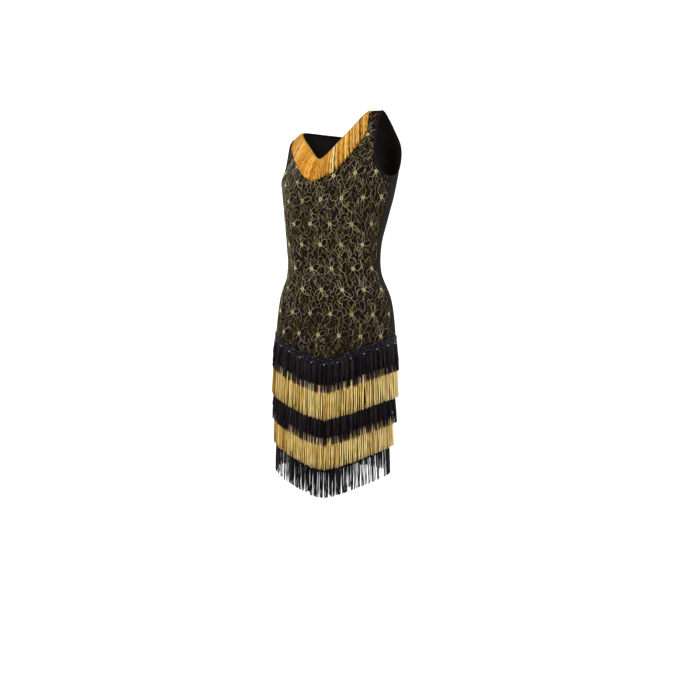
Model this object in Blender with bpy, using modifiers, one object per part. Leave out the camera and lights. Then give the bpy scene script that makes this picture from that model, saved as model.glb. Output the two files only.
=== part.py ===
"""A sleeveless 1920s-style shift dress with a fringed neckline and five tiers of fringe, held in
the hollow form that it has when it is worn.

Run with: blender --background --python part.py

Metres, +Z up. The front faces -Y and the wearer's left side is at +X. The origin lies midway
between the two shoulder straps, where the wearer's shoulders carry the dress.

Every piece lies on one body form, cloth(angle, row). The angle runs round the body from 0 at the
centre front to 90 degrees at the wearer's left side and 180 at the centre back. The row runs up
the body through the lines of SECTIONS, and the form is a smooth curve through them.
"""
import math

import bmesh
import bpy
import numpy as np

# ------------------------------------------------------------------ the body form
# One line for each section, from below the hem up to the top of the shoulders:
# height, half width, depth in front of the middle, depth behind it, and how far the middle
# stands to the wearer's left.
SECTIONS = np.array([
    (-1.010, 0.143, 0.107, 0.110, -0.015),
    (-0.920, 0.145, 0.109, 0.112, -0.015),
    (-0.820, 0.150, 0.111, 0.115, -0.013),
    (-0.720, 0.158, 0.112, 0.119, -0.009),
    (-0.630, 0.161, 0.111, 0.121, -0.007),
    (-0.550, 0.159, 0.108, 0.116, -0.005),
    (-0.470, 0.149, 0.102, 0.102, -0.005),
    (-0.400, 0.126, 0.097, 0.087, -0.008),
    (-0.330, 0.127, 0.104, 0.087, -0.008),
    (-0.260, 0.139, 0.120, 0.096, -0.001),
    (-0.200, 0.151, 0.127, 0.106, 0.006),
    (-0.140, 0.163, 0.117, 0.112, 0.009),
    (-0.080, 0.174, 0.087, 0.104, 0.010),
    (-0.030, 0.176, 0.052, 0.078, 0.004),
    (0.002, 0.176, 0.028, 0.044, 0.000),
    (0.015, 0.176, 0.013, 0.019, 0.000),
    (0.020, 0.176, 0.000, 0.000, 0.000),
])
HEIGHT, HALF_WIDTH, FRONT, BACK, MIDDLE = range(5)
TOP_ROW = len(SECTIONS) - 1
TOP_HEIGHT = SECTIONS[-1, HEIGHT]
FULLNESS = 2.2                # exponent of each section's outline; 2 is an ellipse

# The pose: the left shoulder and the right hip are raised, and the chest and the hem are turned
# opposite ways on the hips.
SHOULDER_SLOPE = 0.27         # fall of each shoulder for each metre outwards
SHOULDER_SOFT = 0.03          # half width at the neck over which that slope is rounded off
SHOULDER_TILT = 0.262         # rise from the right shoulder to the left, for each metre
HIP_TILT = 0.035              # fall from the right hip to the left, for each metre
CHEST_TURN = math.radians(11)
HEM_TURN = math.radians(-6)

# ------------------------------------------------------------------ the pieces
WALL = 0.0012                 # thickness of the cloth
GAP = 0.0003                  # kept between two pieces
SIDE_SEAM = math.radians(86)  # the front panel ends just before the side of the body
HEM_HEIGHT = -0.917           # lowest point of the panels' hem, at the centre front
NECK_HALF = 0.102             # from the middle to the neck end of each strap
NECK_ROUND = 0.016            # how round the lowest point of the neckline is
FRONT_NECK_LOW = -0.106       # height of the lowest point of the V
BACK_NECK_LOW = -0.040
STRAP_OUTER = 0.133           # from the middle to the arm end of each strap
STRAP_MIDDLE = (NECK_HALF + STRAP_OUTER) / 2
ARMHOLE_LOW = -0.170
ARMHOLE_ROUND = 2.4           # exponent of the armhole's lower curve
FRONT_SCOOP = 0.55            # share of the armhole's height over which each panel curves in
BACK_SCOOP = 0.90
PANEL_COLUMNS = 9             # cells across half a panel

BINDING_WIDE = 0.0042
BINDING_THICK = 0.0024
BINDING_SIDES = 6

TIERS = (("fringe_black_1", True), ("fringe_gold_1", False), ("fringe_black_2", True),
         ("fringe_gold_2", False), ("fringe_black_3", True))
TIER_TOP = -0.618             # upper edge of the top tier's heading at the centre front
TIER_PITCH = 0.0688
TRIM_LENGTH = 0.090           # heading and fringe together
BLACK_HEADING = 0.022
GOLD_HEADING = 0.012
VEE_RISE = 0.056              # how much higher a tier is at the sides than at the centre front
VEE_ROUND = 0.125             # how round its lowest point is, as a share of the half width
HEADING_SEAT = WALL + 0.0009  # inner face of a heading; its flat cells cut the form's curve
HEADING_THICK = 0.0012
TIER_LOCKS = 42
LOCK_SHARE = 0.78             # share of the pitch that a lock fills at its root
LOCK_TIP_SHARE = 0.75         # a lock's width at its tip, as a share of that at its root
LOCK_THICK = 0.0018
TIER_FLARE = 0.006            # how far a tier's tips stand out from its root

NECK_LOCKS = 40
NECK_STRIP_START = 0.0010     # from the neckline's edge to the strip
NECK_STRIP_WIDE = 0.0070
NECK_LOCK_LENGTH = 0.053      # past the strip
NECK_LOCK_STEPS = 4
NECK_LOCK_WIDE = 0.0030
NECK_LOCK_THICK = 0.0014
NECK_SEAT = WALL + 0.0011     # inner face of the collar's strip
NECK_LOCK_LIFT = 0.0044       # how far a lock's tip stands off the strip's level
NECK_LOCK_SPLAY = 0.9         # how much the right half leaves the neckline before it falls

PAINTS = {
    "lace_knit": ((0.050, 0.036, 0.022), 0.62, 0.05),
    "plain_knit": ((0.016, 0.013, 0.012), 0.70, 0.0),
    "binding_black": ((0.012, 0.011, 0.011), 0.60, 0.0),
    "fringe_black": ((0.008, 0.007, 0.008), 0.42, 0.0),
    "fringe_gold": ((0.420, 0.270, 0.085), 0.38, 0.25),
}


# ------------------------------------------------------------------ the form's functions
def spline(row):
    """The table's columns at a row, on a Catmull-Rom curve through its lines."""
    row = np.clip(np.asarray(row, float), 0, TOP_ROW)
    i = np.minimum(row.astype(int), TOP_ROW - 1)
    t = (row - i)[..., None]
    a = SECTIONS[np.maximum(i - 1, 0)]
    b = SECTIONS[i]
    c = SECTIONS[i + 1]
    d = SECTIONS[np.minimum(i + 2, TOP_ROW)]
    return 0.5 * (2 * b + (c - a) * t + (2 * a - 5 * b + 4 * c - d) * t ** 2
                  + (3 * b - a - 3 * c + d) * t ** 3)


FINE_ROWS = np.linspace(0, TOP_ROW, 1601)
FINE_HEIGHTS = spline(FINE_ROWS)[:, HEIGHT]


def row_at(height):
    """The row whose section lies at a height, before the pose moves it."""
    return np.interp(height, FINE_HEIGHTS, FINE_ROWS)


def ease(low, high, value):
    """0 below low, 1 above high, and between them an S-curve with no kink in its slope."""
    t = np.clip((value - low) / (high - low), 0, 1)
    return t ** 3 * (10 - 15 * t + 6 * t * t)


def shape(angle, row):
    """Points of the body form, in the pose of the dress."""
    angle, row = np.broadcast_arrays(np.asarray(angle, float), np.asarray(row, float))
    section = spline(row)
    side, ahead = np.sin(angle), np.cos(angle)
    power = 2 / FULLNESS
    depth = np.where(ahead > 0, -section[..., FRONT], section[..., BACK])
    x = section[..., HALF_WIDTH] * np.sign(side) * np.abs(side) ** power
    y = depth * np.abs(ahead) ** power
    height = section[..., HEIGHT]
    fall = np.hypot(x, SHOULDER_SOFT) * ease(-0.19, 0.01, height)
    z = height - SHOULDER_SLOPE * fall + SHOULDER_TILT * x * ease(-0.30, -0.02, height)
    z = z - HIP_TILT * x * (1 - ease(-0.63, -0.36, height))
    z = z + SHOULDER_SLOPE * math.hypot(STRAP_MIDDLE, SHOULDER_SOFT) - TOP_HEIGHT
    turn = CHEST_TURN * ease(-0.54, -0.12, height) + HEM_TURN * (1 - ease(-0.90, -0.45, height))
    return np.stack([x * np.cos(turn) + y * np.sin(turn) + section[..., MIDDLE],
                     y * np.cos(turn) - x * np.sin(turn), z], -1)


def unit(vectors):
    return vectors / np.linalg.norm(vectors, axis=-1, keepdims=True)


def slopes(angle, row):
    """How a point of the form moves for each radian of angle and for each row."""
    step = 1e-3
    angle, row = np.broadcast_arrays(np.asarray(angle, float), np.asarray(row, float))
    above = np.minimum(row + step, TOP_ROW)
    below = above - 2 * step
    along = (shape(angle + step, row) - shape(angle - step, row)) / (2 * step)
    return along, (shape(angle, above) - shape(angle, below)) / (2 * step)


def outward(angle, row):
    """Unit vectors that stand square on the form."""
    return unit(np.cross(*slopes(angle, row)))


def cloth(angle, row, out=0.0):
    """Points of the form, moved outwards by a distance."""
    return shape(angle, row) + outward(angle, row) * np.asarray(out, float)[..., None]


def walk(angle, row, step):
    """The angle and row reached from a point of the form by a small step in space."""
    along, up = slopes(angle, row)
    aa, au, uu = (along * along).sum(-1), (along * up).sum(-1), (up * up).sum(-1)
    sa, su = (step * along).sum(-1), (step * up).sum(-1)
    area = aa * uu - au * au
    return angle + (sa * uu - su * au) / area, row + (su * aa - sa * au) / area


# ------------------------------------------------------------------ the panels' edges
def angle_of(x, row):
    """The angle, from the centre line, at which a section is x away from its middle."""
    share = np.clip(x / spline(row)[..., HALF_WIDTH], 0, 1)
    return np.arcsin(share ** (FULLNESS / 2))


def inner_edge(row, neck_low):
    """Angle of the neckline from the centre line: 0 below it, then a hyperbola's leg."""
    height = spline(row)[..., HEIGHT]
    steep = (TOP_HEIGHT - neck_low) / (math.hypot(NECK_HALF, NECK_ROUND) - NECK_ROUND)
    reach = np.maximum(height - neck_low, 0) / steep + NECK_ROUND
    return angle_of(np.sqrt(reach ** 2 - NECK_ROUND ** 2), row)


def outer_edge(row, seam, scoop):
    """Angle of the side seam from the centre line and, above it, of the armhole."""
    height = spline(row)[..., HEIGHT]
    climb = np.clip((height - ARMHOLE_LOW) / (TOP_HEIGHT - ARMHOLE_LOW) / scoop, 0, 1)
    curve = (1 - (1 - climb) ** ARMHOLE_ROUND) ** (1 / ARMHOLE_ROUND)
    return seam + (angle_of(STRAP_OUTER, row) - seam) * curve


def vee(angle):
    """A tier's line: 0 at the centre front, 1 at the sides and all round the back."""
    turned = np.abs((np.asarray(angle) + np.pi) % (2 * np.pi) - np.pi)
    across = np.sin(np.minimum(turned, np.pi / 2))
    return (np.hypot(across, VEE_ROUND) - VEE_ROUND) / (math.hypot(1, VEE_ROUND) - VEE_ROUND)


PANELS = {
    "front": dict(centre=0.0, seam=SIDE_SEAM, neck_low=FRONT_NECK_LOW, scoop=FRONT_SCOOP),
    "back": dict(centre=math.pi, seam=math.pi - SIDE_SEAM, neck_low=BACK_NECK_LOW,
                 scoop=BACK_SCOOP),
}
SEAM_HALF_GAP = 0.0015        # radians; half a gap at the side seam
TOP_END = TOP_ROW - 0.03      # the straps stop here, half a gap short of the shoulder seam


# ------------------------------------------------------------------ helpers for objects
def material(name):
    found = bpy.data.materials.get(name)
    if found:
        return found
    colour, roughness, metallic = PAINTS[name]
    made = bpy.data.materials.new(name)
    made.use_nodes = True
    shader = made.node_tree.nodes["Principled BSDF"]
    shader.inputs["Base Color"].default_value = (*colour, 1)
    shader.inputs["Roughness"].default_value = roughness
    shader.inputs["Metallic"].default_value = metallic
    made.diffuse_color = (*colour, 1)
    return made


def add_object(name, points, faces, paint):
    mesh = bpy.data.meshes.new(name)
    mesh.from_pydata([tuple(p) for p in points], [], faces)
    made = bpy.data.objects.new(name, mesh)
    mesh.materials.append(material(paint))
    dress.objects.link(made)
    return made


def tidy(made, closed):
    """Merge the points that two halves share and, on a closed form, point every face outwards."""
    work = bmesh.new()
    work.from_mesh(made.data)
    bmesh.ops.remove_doubles(work, verts=work.verts, dist=1e-5)
    if closed:
        bmesh.ops.recalc_face_normals(work, faces=work.faces)
    work.to_mesh(made.data)
    work.free()


# ------------------------------------------------------------------ front and back
def panel_rows(neck_low):
    """Rows of a panel's grid, close together where the armhole and the neckline begin."""
    skirt = row_at(np.linspace(HEM_HEIGHT, ARMHOLE_LOW, 19))
    chest = row_at(ARMHOLE_LOW + (neck_low - ARMHOLE_LOW) * np.linspace(0, 1, 9)[1:] ** 1.7)
    start = row_at(neck_low)
    yoke = start + (TOP_END - start) * np.linspace(0, 1, 13)[1:] ** 1.7
    return np.concatenate([skirt, chest, yoke])


def panel(name, side, paint):
    """One wall from the centre line out to both sides, with its hem along the tiers' line."""
    cut = PANELS[side]
    rows = panel_rows(cut["neck_low"])
    inner = inner_edge(rows, cut["neck_low"])
    outer = outer_edge(rows, cut["seam"] - SEAM_HALF_GAP, cut["scoop"])
    across = np.linspace(0, 1, PANEL_COLUMNS + 1)
    points, faces = [], []
    for hand in (1, -1):
        angle = cut["centre"] + hand * (inner[:, None] + (outer - inner)[:, None] * across)
        height = spline(rows)[:, HEIGHT][:, None]
        lift = VEE_RISE * vee(angle) * (1 - ease(HEM_HEIGHT, -0.45, height))
        bent = np.where(height < ARMHOLE_LOW, row_at(height + lift), rows[:, None])
        start = len(points)
        points += list(shape(angle, bent).reshape(-1, 3))
        wide = PANEL_COLUMNS + 1
        for i in range(len(rows) - 1):
            for j in range(PANEL_COLUMNS):
                a = start + i * wide + j
                quad = (a, a + 1, a + 1 + wide, a + wide)
                faces.append(quad if hand > 0 else quad[::-1])
    made = add_object(name, points, faces, paint)
    tidy(made, closed=False)
    wall = made.modifiers.new("wall", 'SOLIDIFY')
    wall.thickness = WALL
    wall.offset = 1
    wall.use_even_offset = True
    return made


# ------------------------------------------------------------------ bound edges
def edge_run(side, hand, which):
    """Angles and rows of the panel's own points up one edge, from its lowest to the shoulder."""
    cut = PANELS[side]
    rows = panel_rows(cut["neck_low"])
    low = cut["neck_low"] if which == "neck" else ARMHOLE_LOW
    rows = rows[rows > row_at(low) - 1e-6]
    if which == "neck":
        turn = inner_edge(rows, low)
    else:
        turn = outer_edge(rows, cut["seam"], cut["scoop"])
    return cut["centre"] + hand * turn, rows


def bound_edge(name, runs, into):
    """A flat closed band just outside an edge; runs are its stretches, in order, and into is
    1 where the opening lies to the left of the path, seen from outside, and -1 to the right."""
    path = np.vstack([shape(a, r) for a, r in runs])
    square = np.vstack([outward(a, r) for a, r in runs])
    apart = np.linalg.norm(path - np.roll(path, 1, 0), axis=1) > 10 * GAP
    path, square = path[apart], square[apart]
    ahead = unit(unit(np.roll(path, -1, 0) - path) + unit(path - np.roll(path, 1, 0)))
    away = unit(np.cross(square, ahead)) * into
    square = unit(np.cross(ahead, away) * into)
    middle = path + away * (GAP + BINDING_WIDE / 2) + square * WALL / 2
    rings = []
    for turn in (np.arange(BINDING_SIDES) + 0.5) * 2 * math.pi / BINDING_SIDES:
        rings.append(middle + away * math.cos(turn) * BINDING_WIDE / 2
                     + square * math.sin(turn) * BINDING_THICK / 2)
    rings = np.stack(rings, 1)
    stations = len(path)
    faces = []
    for i in range(stations):
        for k in range(BINDING_SIDES):
            j, m = (i + 1) % stations, (k + 1) % BINDING_SIDES
            faces.append((i * BINDING_SIDES + k, i * BINDING_SIDES + m,
                          j * BINDING_SIDES + m, j * BINDING_SIDES + k))
    made = add_object(name, rings.reshape(-1, 3), faces, "binding_black")
    tidy(made, closed=True)
    return made


def backwards(run):
    return run[0][::-1], run[1][::-1]


def armhole_binding(name, hand):
    runs = [edge_run("front", hand, "arm"), backwards(edge_run("back", -hand, "arm"))]
    return bound_edge(name, runs, -hand)


def neck_binding():
    runs = [backwards(edge_run("front", -1, "neck")), edge_run("front", 1, "neck"),
            backwards(edge_run("back", -1, "neck")), edge_run("back", 1, "neck")]
    return bound_edge("neck_binding", runs, 1)


# ------------------------------------------------------------------ fringe
def lengths(points):
    """Length along a line of points, from its start to each of them."""
    return np.concatenate([[0], np.cumsum(np.linalg.norm(np.diff(points, axis=0), axis=1))])


def fringed_strip(name, top, bottom, locks, closed, paint):
    """A strip with locks that grow out of its lower face, as one closed solid.

    top and bottom hold the strip's inner and outer points at each station. Even cells carry a
    lock. locks holds, for each lock, its later sections of four points in the order inner start,
    outer start, outer end, inner end."""
    stations = len(top)
    points = [p for t, b in zip(top, bottom) for p in (t[0], t[1], b[1], b[0])]
    faces = []
    cells = stations if closed else stations - 1
    for j in range(cells):
        a, b = 4 * j, 4 * ((j + 1) % stations)
        faces += [(a, a + 1, b + 1, b), (a + 1, a + 2, b + 2, b + 1), (a + 3, a, b, b + 3)]
        if j % 2:
            faces.append((a + 2, a + 3, b + 3, b + 2))
            continue
        ring = [a + 3, a + 2, b + 2, b + 3]
        for section in locks[j // 2]:
            fresh = list(range(len(points), len(points) + 4))
            points += list(section)
            for k in range(4):
                m = (k + 1) % 4
                faces.append((ring[k], ring[m], fresh[m], fresh[k]))
            ring = fresh
        faces.append(tuple(ring))
    if not closed:
        end = 4 * (stations - 1)
        faces += [(0, 1, 2, 3), (end, end + 1, end + 2, end + 3)]
    made = add_object(name, points, faces, paint)
    tidy(made, closed=True)
    return made


def tier(name, index, black):
    """A ring of fringe: its heading follows the V, and its locks hang straight down."""
    heading = BLACK_HEADING if black else GOLD_HEADING
    upper = TIER_TOP - index * TIER_PITCH
    lower = upper - heading
    fine = np.linspace(0, 2 * math.pi, 721)
    length = lengths(shape(fine, row_at(lower + VEE_RISE * vee(fine))))
    starts = np.interp(np.arange(TIER_LOCKS) / TIER_LOCKS * length[-1], length, fine)
    ends = starts + LOCK_SHARE * (np.append(starts[1:], 2 * math.pi) - starts)
    stations = np.stack([starts, ends], 1).ravel()
    rise = VEE_RISE * vee(stations)
    levels = [HEADING_SEAT, HEADING_SEAT + HEADING_THICK]
    top = np.stack([cloth(stations, row_at(upper + rise), out) for out in levels], 1)
    bottom = np.stack([cloth(stations, row_at(lower + rise), out) for out in levels], 1)
    locks = []
    for a, b in zip(bottom[0::2], bottom[1::2]):
        middle = (a + b).mean(0) / 2
        across = (b - a).mean(0) / 2 * LOCK_TIP_SHARE
        out = unit((a[1] - a[0]) + (b[1] - b[0]))
        tip = middle + out * TIER_FLARE - np.array([0, 0, TRIM_LENGTH - heading])
        out = out * LOCK_THICK / 2
        locks.append([[tip - across - out, tip - across + out, tip + across + out,
                       tip + across - out]])
    return fringed_strip(name, top, bottom, locks, True,
                         "fringe_black" if black else "fringe_gold")


def neck_hang(share):
    """How a lock hangs at a share of the neckline's length, from the right shoulder: its lean
    towards the wearer's left, its splay away from the neck, and its length."""
    lean = np.maximum(0.15 - 0.30 * share, -0.06)
    splay = NECK_LOCK_SPLAY * np.clip(1 - 1.6 * share, 0, 1)
    longer = 0.010 * ease(0.5, 0.7, share) - 0.020 * ease(0.88, 1, share)
    return lean, splay, NECK_LOCK_LENGTH + longer


def neck_fringe():
    """The collar: a strip along the V on the front panel, with locks that fall down the chest."""
    start = row_at(FRONT_NECK_LOW)
    row = start + (TOP_END - start) * np.linspace(0, 1, 160) ** 2
    angle = inner_edge(row, FRONT_NECK_LOW)
    angle = np.concatenate([-angle[:0:-1], angle])
    row = np.concatenate([row[:0:-1], row])
    edge = shape(angle, row)
    count = NECK_LOCKS * 2
    share = (np.arange(NECK_LOCKS)[:, None] + [0, LOCK_SHARE]).ravel() / NECK_LOCKS
    length = lengths(edge)
    margin = 0.006
    wanted = margin + (length[-1] - 2 * margin) * share
    where = np.interp(wanted, length, np.arange(len(edge)))
    angle = np.interp(where, np.arange(len(edge)), angle)
    row = np.interp(where, np.arange(len(edge)), row)
    path = shape(angle, row)
    ahead = unit(np.gradient(path, axis=0))
    away = -unit(np.cross(outward(angle, row), ahead))
    levels = [NECK_SEAT, NECK_SEAT + HEADING_THICK]
    near = walk(angle, row, away * NECK_STRIP_START)
    far = walk(*near, away * NECK_STRIP_WIDE)
    top = np.stack([cloth(*near, out) for out in levels], 1)
    bottom = np.stack([cloth(*far, out) for out in levels], 1)
    locks = []
    for i in range(0, count, 2):
        spot = (np.mean(far[0][i:i + 2]), np.mean(far[1][i:i + 2]))
        leave = unit(away[i] + away[i + 1])
        lean, splay, long = neck_hang((share[i] + share[i + 1]) / 2)
        sections = []
        for k in range(1, NECK_LOCK_STEPS + 1):
            square = outward(*spot)
            down = np.array([lean, 0, -1])
            down = unit(down - square * down.dot(square))
            way = unit(down + leave * splay * (k == 1))
            way = unit(way - square * way.dot(square))
            spot = walk(*spot, way * long / NECK_LOCK_STEPS)
            square = outward(*spot)
            side = unit(np.cross(square, way)) * NECK_LOCK_WIDE / 2
            if side.dot(path[i + 1] - path[i]) < 0:
                side = -side
            rise = NECK_LOCK_LIFT * math.sqrt(k / NECK_LOCK_STEPS)
            lift = NECK_SEAT + NECK_LOCK_THICK / 2 + rise
            middle = cloth(*spot, lift)
            half = square * NECK_LOCK_THICK / 2
            sections.append([middle - side - half, middle - side + half,
                             middle + side + half, middle + side - half])
        locks.append(sections)
    return fringed_strip("neck_fringe", top, bottom, locks, False, "fringe_gold")


# ------------------------------------------------------------------ the dress
for old in list(bpy.data.objects):
    bpy.data.objects.remove(old, do_unlink=True)
dress = bpy.data.collections.new("flapper_dress")
bpy.context.scene.collection.children.link(dress)

panel("front_panel", "front", "lace_knit")
panel("back_panel", "back", "plain_knit")
armhole_binding("armhole_binding_left", 1)
armhole_binding("armhole_binding_right", -1)
neck_binding()
neck_fringe()
for index, (tier_name, is_black) in enumerate(TIERS):
    tier(tier_name, index, is_black)
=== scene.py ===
# %% [markdown]
# # A fringed flapper dress
# A sleeveless shift of black knit with a gold lace front, a gold fringe collar and five tiers of
# black and gold fringe. It keeps the hollow form that it has on a wearer. This script loads the
# solid model as a fixed frame and dresses it: every soft piece is worked out again with numpy on
# the same body form, much finer, and gets its own cloth, lace or fringe material.

# %% Load the frame
import math

import bpy
import numpy as np
from mathutils import Matrix


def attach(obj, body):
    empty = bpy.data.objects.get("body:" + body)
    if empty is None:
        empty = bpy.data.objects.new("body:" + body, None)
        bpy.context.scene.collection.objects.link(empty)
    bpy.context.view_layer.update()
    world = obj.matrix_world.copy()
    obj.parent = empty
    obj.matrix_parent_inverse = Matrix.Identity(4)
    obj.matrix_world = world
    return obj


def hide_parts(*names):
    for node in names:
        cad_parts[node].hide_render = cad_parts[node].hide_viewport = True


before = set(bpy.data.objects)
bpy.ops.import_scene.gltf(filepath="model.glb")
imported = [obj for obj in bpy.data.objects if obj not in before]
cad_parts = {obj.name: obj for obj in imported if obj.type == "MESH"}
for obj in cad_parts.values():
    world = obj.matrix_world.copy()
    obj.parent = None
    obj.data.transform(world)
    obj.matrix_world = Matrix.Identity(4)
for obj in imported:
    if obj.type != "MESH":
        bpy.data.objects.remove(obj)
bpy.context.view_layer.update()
BODY = "root"

# %% [markdown]
# ## The body form
# Every piece of the dress lies on one surface, so the surface comes first. It could be a
# sculpted mesh, but then each trim would need fitting by eye. A function of two parameters is
# better: the angle round the body (0 at the centre front, 90 degrees at the wearer's left side)
# and the row up the body. Any point, normal or path on the dress is then one call.

# %% Sections of the body form
# height, half width, depth in front of the middle, depth behind it, and how far the middle
# stands to the wearer's left
SECTIONS = np.array([
    (-1.010, 0.143, 0.107, 0.110, -0.015),
    (-0.920, 0.145, 0.109, 0.112, -0.015),
    (-0.820, 0.150, 0.111, 0.115, -0.013),
    (-0.720, 0.158, 0.112, 0.119, -0.009),
    (-0.630, 0.161, 0.111, 0.121, -0.007),
    (-0.550, 0.159, 0.108, 0.116, -0.005),
    (-0.470, 0.149, 0.102, 0.102, -0.005),
    (-0.400, 0.126, 0.097, 0.087, -0.008),
    (-0.330, 0.127, 0.104, 0.087, -0.008),
    (-0.260, 0.139, 0.120, 0.096, -0.001),
    (-0.200, 0.151, 0.127, 0.106, 0.006),
    (-0.140, 0.163, 0.117, 0.112, 0.009),
    (-0.080, 0.174, 0.087, 0.104, 0.010),
    (-0.030, 0.176, 0.052, 0.078, 0.004),
    (0.002, 0.176, 0.028, 0.044, 0.000),
    (0.015, 0.176, 0.013, 0.019, 0.000),
    (0.020, 0.176, 0.000, 0.000, 0.000),
])
HEIGHT, HALF_WIDTH, FRONT, BACK, MIDDLE = range(5)
TOP_ROW = len(SECTIONS) - 1
TOP_HEIGHT = SECTIONS[-1, HEIGHT]
FULLNESS = 2.2                # exponent of each section's outline; 2 is an ellipse
SHOULDER_SLOPE = 0.27         # fall of each shoulder for each metre outwards
SHOULDER_SOFT = 0.03          # the two slopes meet in a curve about this wide
SHOULDER_TILT = 0.262         # rise from the right shoulder to the left, for each metre
HIP_TILT = 0.035              # fall of the skirt from right to left, for each metre
CHEST_TURN = math.radians(11)
HEM_TURN = math.radians(-6)
NECK_HALF = 0.102             # from the middle to the neck end of each strap
STRAP_OUTER = 0.133           # from the middle to the arm end of each strap
STRAP_MIDDLE = (NECK_HALF + STRAP_OUTER) / 2
# heights between which the slope, the tilts and the turns begin or end
SLOPE_ZONE = (-0.19, 0.01)
SHOULDER_ZONE = (-0.30, -0.02)
HIP_ZONE = (-0.63, -0.36)
CHEST_ZONE = (-0.54, -0.12)
HEM_ZONE = (-0.90, -0.45)


def spline(row):
    """The table's columns at a row: a Catmull-Rom curve, half of 2b + (c-a)t + (2a-5b+4c-d)t^2
    + (3b-a-3c+d)t^3, through the four lines a, b, c and d round that row."""
    row = np.clip(np.asarray(row, float), 0, TOP_ROW)
    i = np.minimum(row.astype(int), TOP_ROW - 1)
    t = (row - i)[..., None]
    a = SECTIONS[np.maximum(i - 1, 0)]
    b = SECTIONS[i]
    c = SECTIONS[i + 1]
    d = SECTIONS[np.minimum(i + 2, TOP_ROW)]
    return 0.5 * (2 * b + (c - a) * t + (2 * a - 5 * b + 4 * c - d) * t ** 2
                  + (3 * b - a - 3 * c + d) * t ** 3)


FINE_ROWS = np.linspace(0, TOP_ROW, 1601)
FINE_HEIGHTS = spline(FINE_ROWS)[:, HEIGHT]


def row_at(height):
    """The row whose section lies at a height: the height column read backwards."""
    return np.interp(height, FINE_HEIGHTS, FINE_ROWS)


def ease(low, high, value):
    """0 below low, 1 above high, and t^3 (10 - 15t + 6t^2) between them, which has no kink."""
    t = np.clip((value - low) / (high - low), 0, 1)
    return t ** 3 * (10 - 15 * t + 6 * t * t)


def shape(angle, row):
    """Points of the form. Each section is a superellipse, |x/a|^n + |y/b|^n = 1 with n the
    fullness. The shoulders then slope and tilt, and the chest and hem turn on the hips."""
    angle, row = np.broadcast_arrays(np.asarray(angle, float), np.asarray(row, float))
    section = spline(row)
    side, ahead = np.sin(angle), np.cos(angle)
    power = 2 / FULLNESS
    depth = np.where(ahead > 0, -section[..., FRONT], section[..., BACK])
    x = section[..., HALF_WIDTH] * np.sign(side) * np.abs(side) ** power
    y = depth * np.abs(ahead) ** power
    height = section[..., HEIGHT]
    fall = np.hypot(x, SHOULDER_SOFT) * ease(*SLOPE_ZONE, height)
    z = height - SHOULDER_SLOPE * fall + SHOULDER_TILT * x * ease(*SHOULDER_ZONE, height)
    z = z - HIP_TILT * x * (1 - ease(*HIP_ZONE, height))
    z = z + SHOULDER_SLOPE * math.hypot(STRAP_MIDDLE, SHOULDER_SOFT) - TOP_HEIGHT
    turn = CHEST_TURN * ease(*CHEST_ZONE, height) + HEM_TURN * (1 - ease(*HEM_ZONE, height))
    return np.stack([x * np.cos(turn) + y * np.sin(turn) + section[..., MIDDLE],
                     y * np.cos(turn) - x * np.sin(turn), z], -1)


def unit(vectors):
    """Vectors divided by their own lengths."""
    return vectors / np.maximum(np.linalg.norm(vectors, axis=-1, keepdims=True), 1e-12)


def slopes(angle, row):
    """How a point moves for each radian and for each row: central differences of shape()."""
    step = 1e-3
    angle, row = np.broadcast_arrays(np.asarray(angle, float), np.asarray(row, float))
    above = np.minimum(row + step, TOP_ROW)
    below = above - 2 * step
    along = (shape(angle + step, row) - shape(angle - step, row)) / (2 * step)
    return along, (shape(angle, above) - shape(angle, below)) / (2 * step)


def outward(angle, row):
    """Unit normals: the cross product of the two slopes."""
    return unit(np.cross(*slopes(angle, row)))


def walk(angle, row, step):
    """The angle and row reached by a small step in space: the step is written as a sum of the
    two slopes, by solving their 2 by 2 system of dot products."""
    along, up = slopes(angle, row)
    aa, au, uu = (along * along).sum(-1), (along * up).sum(-1), (up * up).sum(-1)
    sa, su = (step * along).sum(-1), (step * up).sum(-1)
    area = aa * uu - au * au
    return angle + (sa * uu - su * au) / area, row + (su * aa - sa * au) / area


print("sections:", TOP_ROW + 1, "from", SECTIONS[0, HEIGHT], "to", TOP_HEIGHT, "m")

# %% [markdown]
# ## Creases
# A fitted knit shows few folds: short drag lines run from the bust and the hips into the waist,
# and a soft hollow lies over each side. They could be simulated, but a close-fitting cloth
# hardly moves, so each is listed as a soft trough with its own length, depth and slant.
# The back gets similar ones.

# %% Creases as troughs on the form
# angle in degrees, height, length, width, depth, and slant in metres of rise for each radian
CREASES = np.array([
    (58, -0.385, 0.60, 0.013, 0.0022, 0.020),
    (66, -0.345, 0.45, 0.011, 0.0018, -0.030),
    (40, -0.425, 0.50, 0.014, 0.0016, 0.045),
    (-52, -0.375, 0.55, 0.014, 0.0022, -0.025),
    (-64, -0.415, 0.45, 0.012, 0.0018, 0.030),
    (-30, -0.440, 0.40, 0.015, 0.0012, -0.040),
    (70, -0.205, 0.30, 0.012, 0.0020, 0.140),
    (-68, -0.215, 0.30, 0.012, 0.0020, -0.120),
    (160, -0.400, 0.70, 0.015, 0.0026, 0.015),
    (-165, -0.360, 0.60, 0.013, 0.0022, -0.020),
    (128, -0.425, 0.50, 0.014, 0.0020, -0.050),
    (-130, -0.430, 0.45, 0.012, 0.0020, 0.050),
    (-112, -0.365, 0.40, 0.011, 0.0016, 0.020),
])


def crease(angle, row):
    """Depth of the creases: for each, depth times exp(-(across/width)^2 - (along/length)^2),
    with across measured from its slanted line."""
    height = spline(row)[..., HEIGHT]
    total = np.zeros(np.broadcast(angle, height).shape)
    for degrees, level, length, width, depth, slant in CREASES:
        away = (angle - math.radians(degrees) + math.pi) % (2 * math.pi) - math.pi
        across = (height - level - slant * away) / width
        total = total + depth * np.exp(-across ** 2 - (away / (length / 2)) ** 2)
    return total


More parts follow.
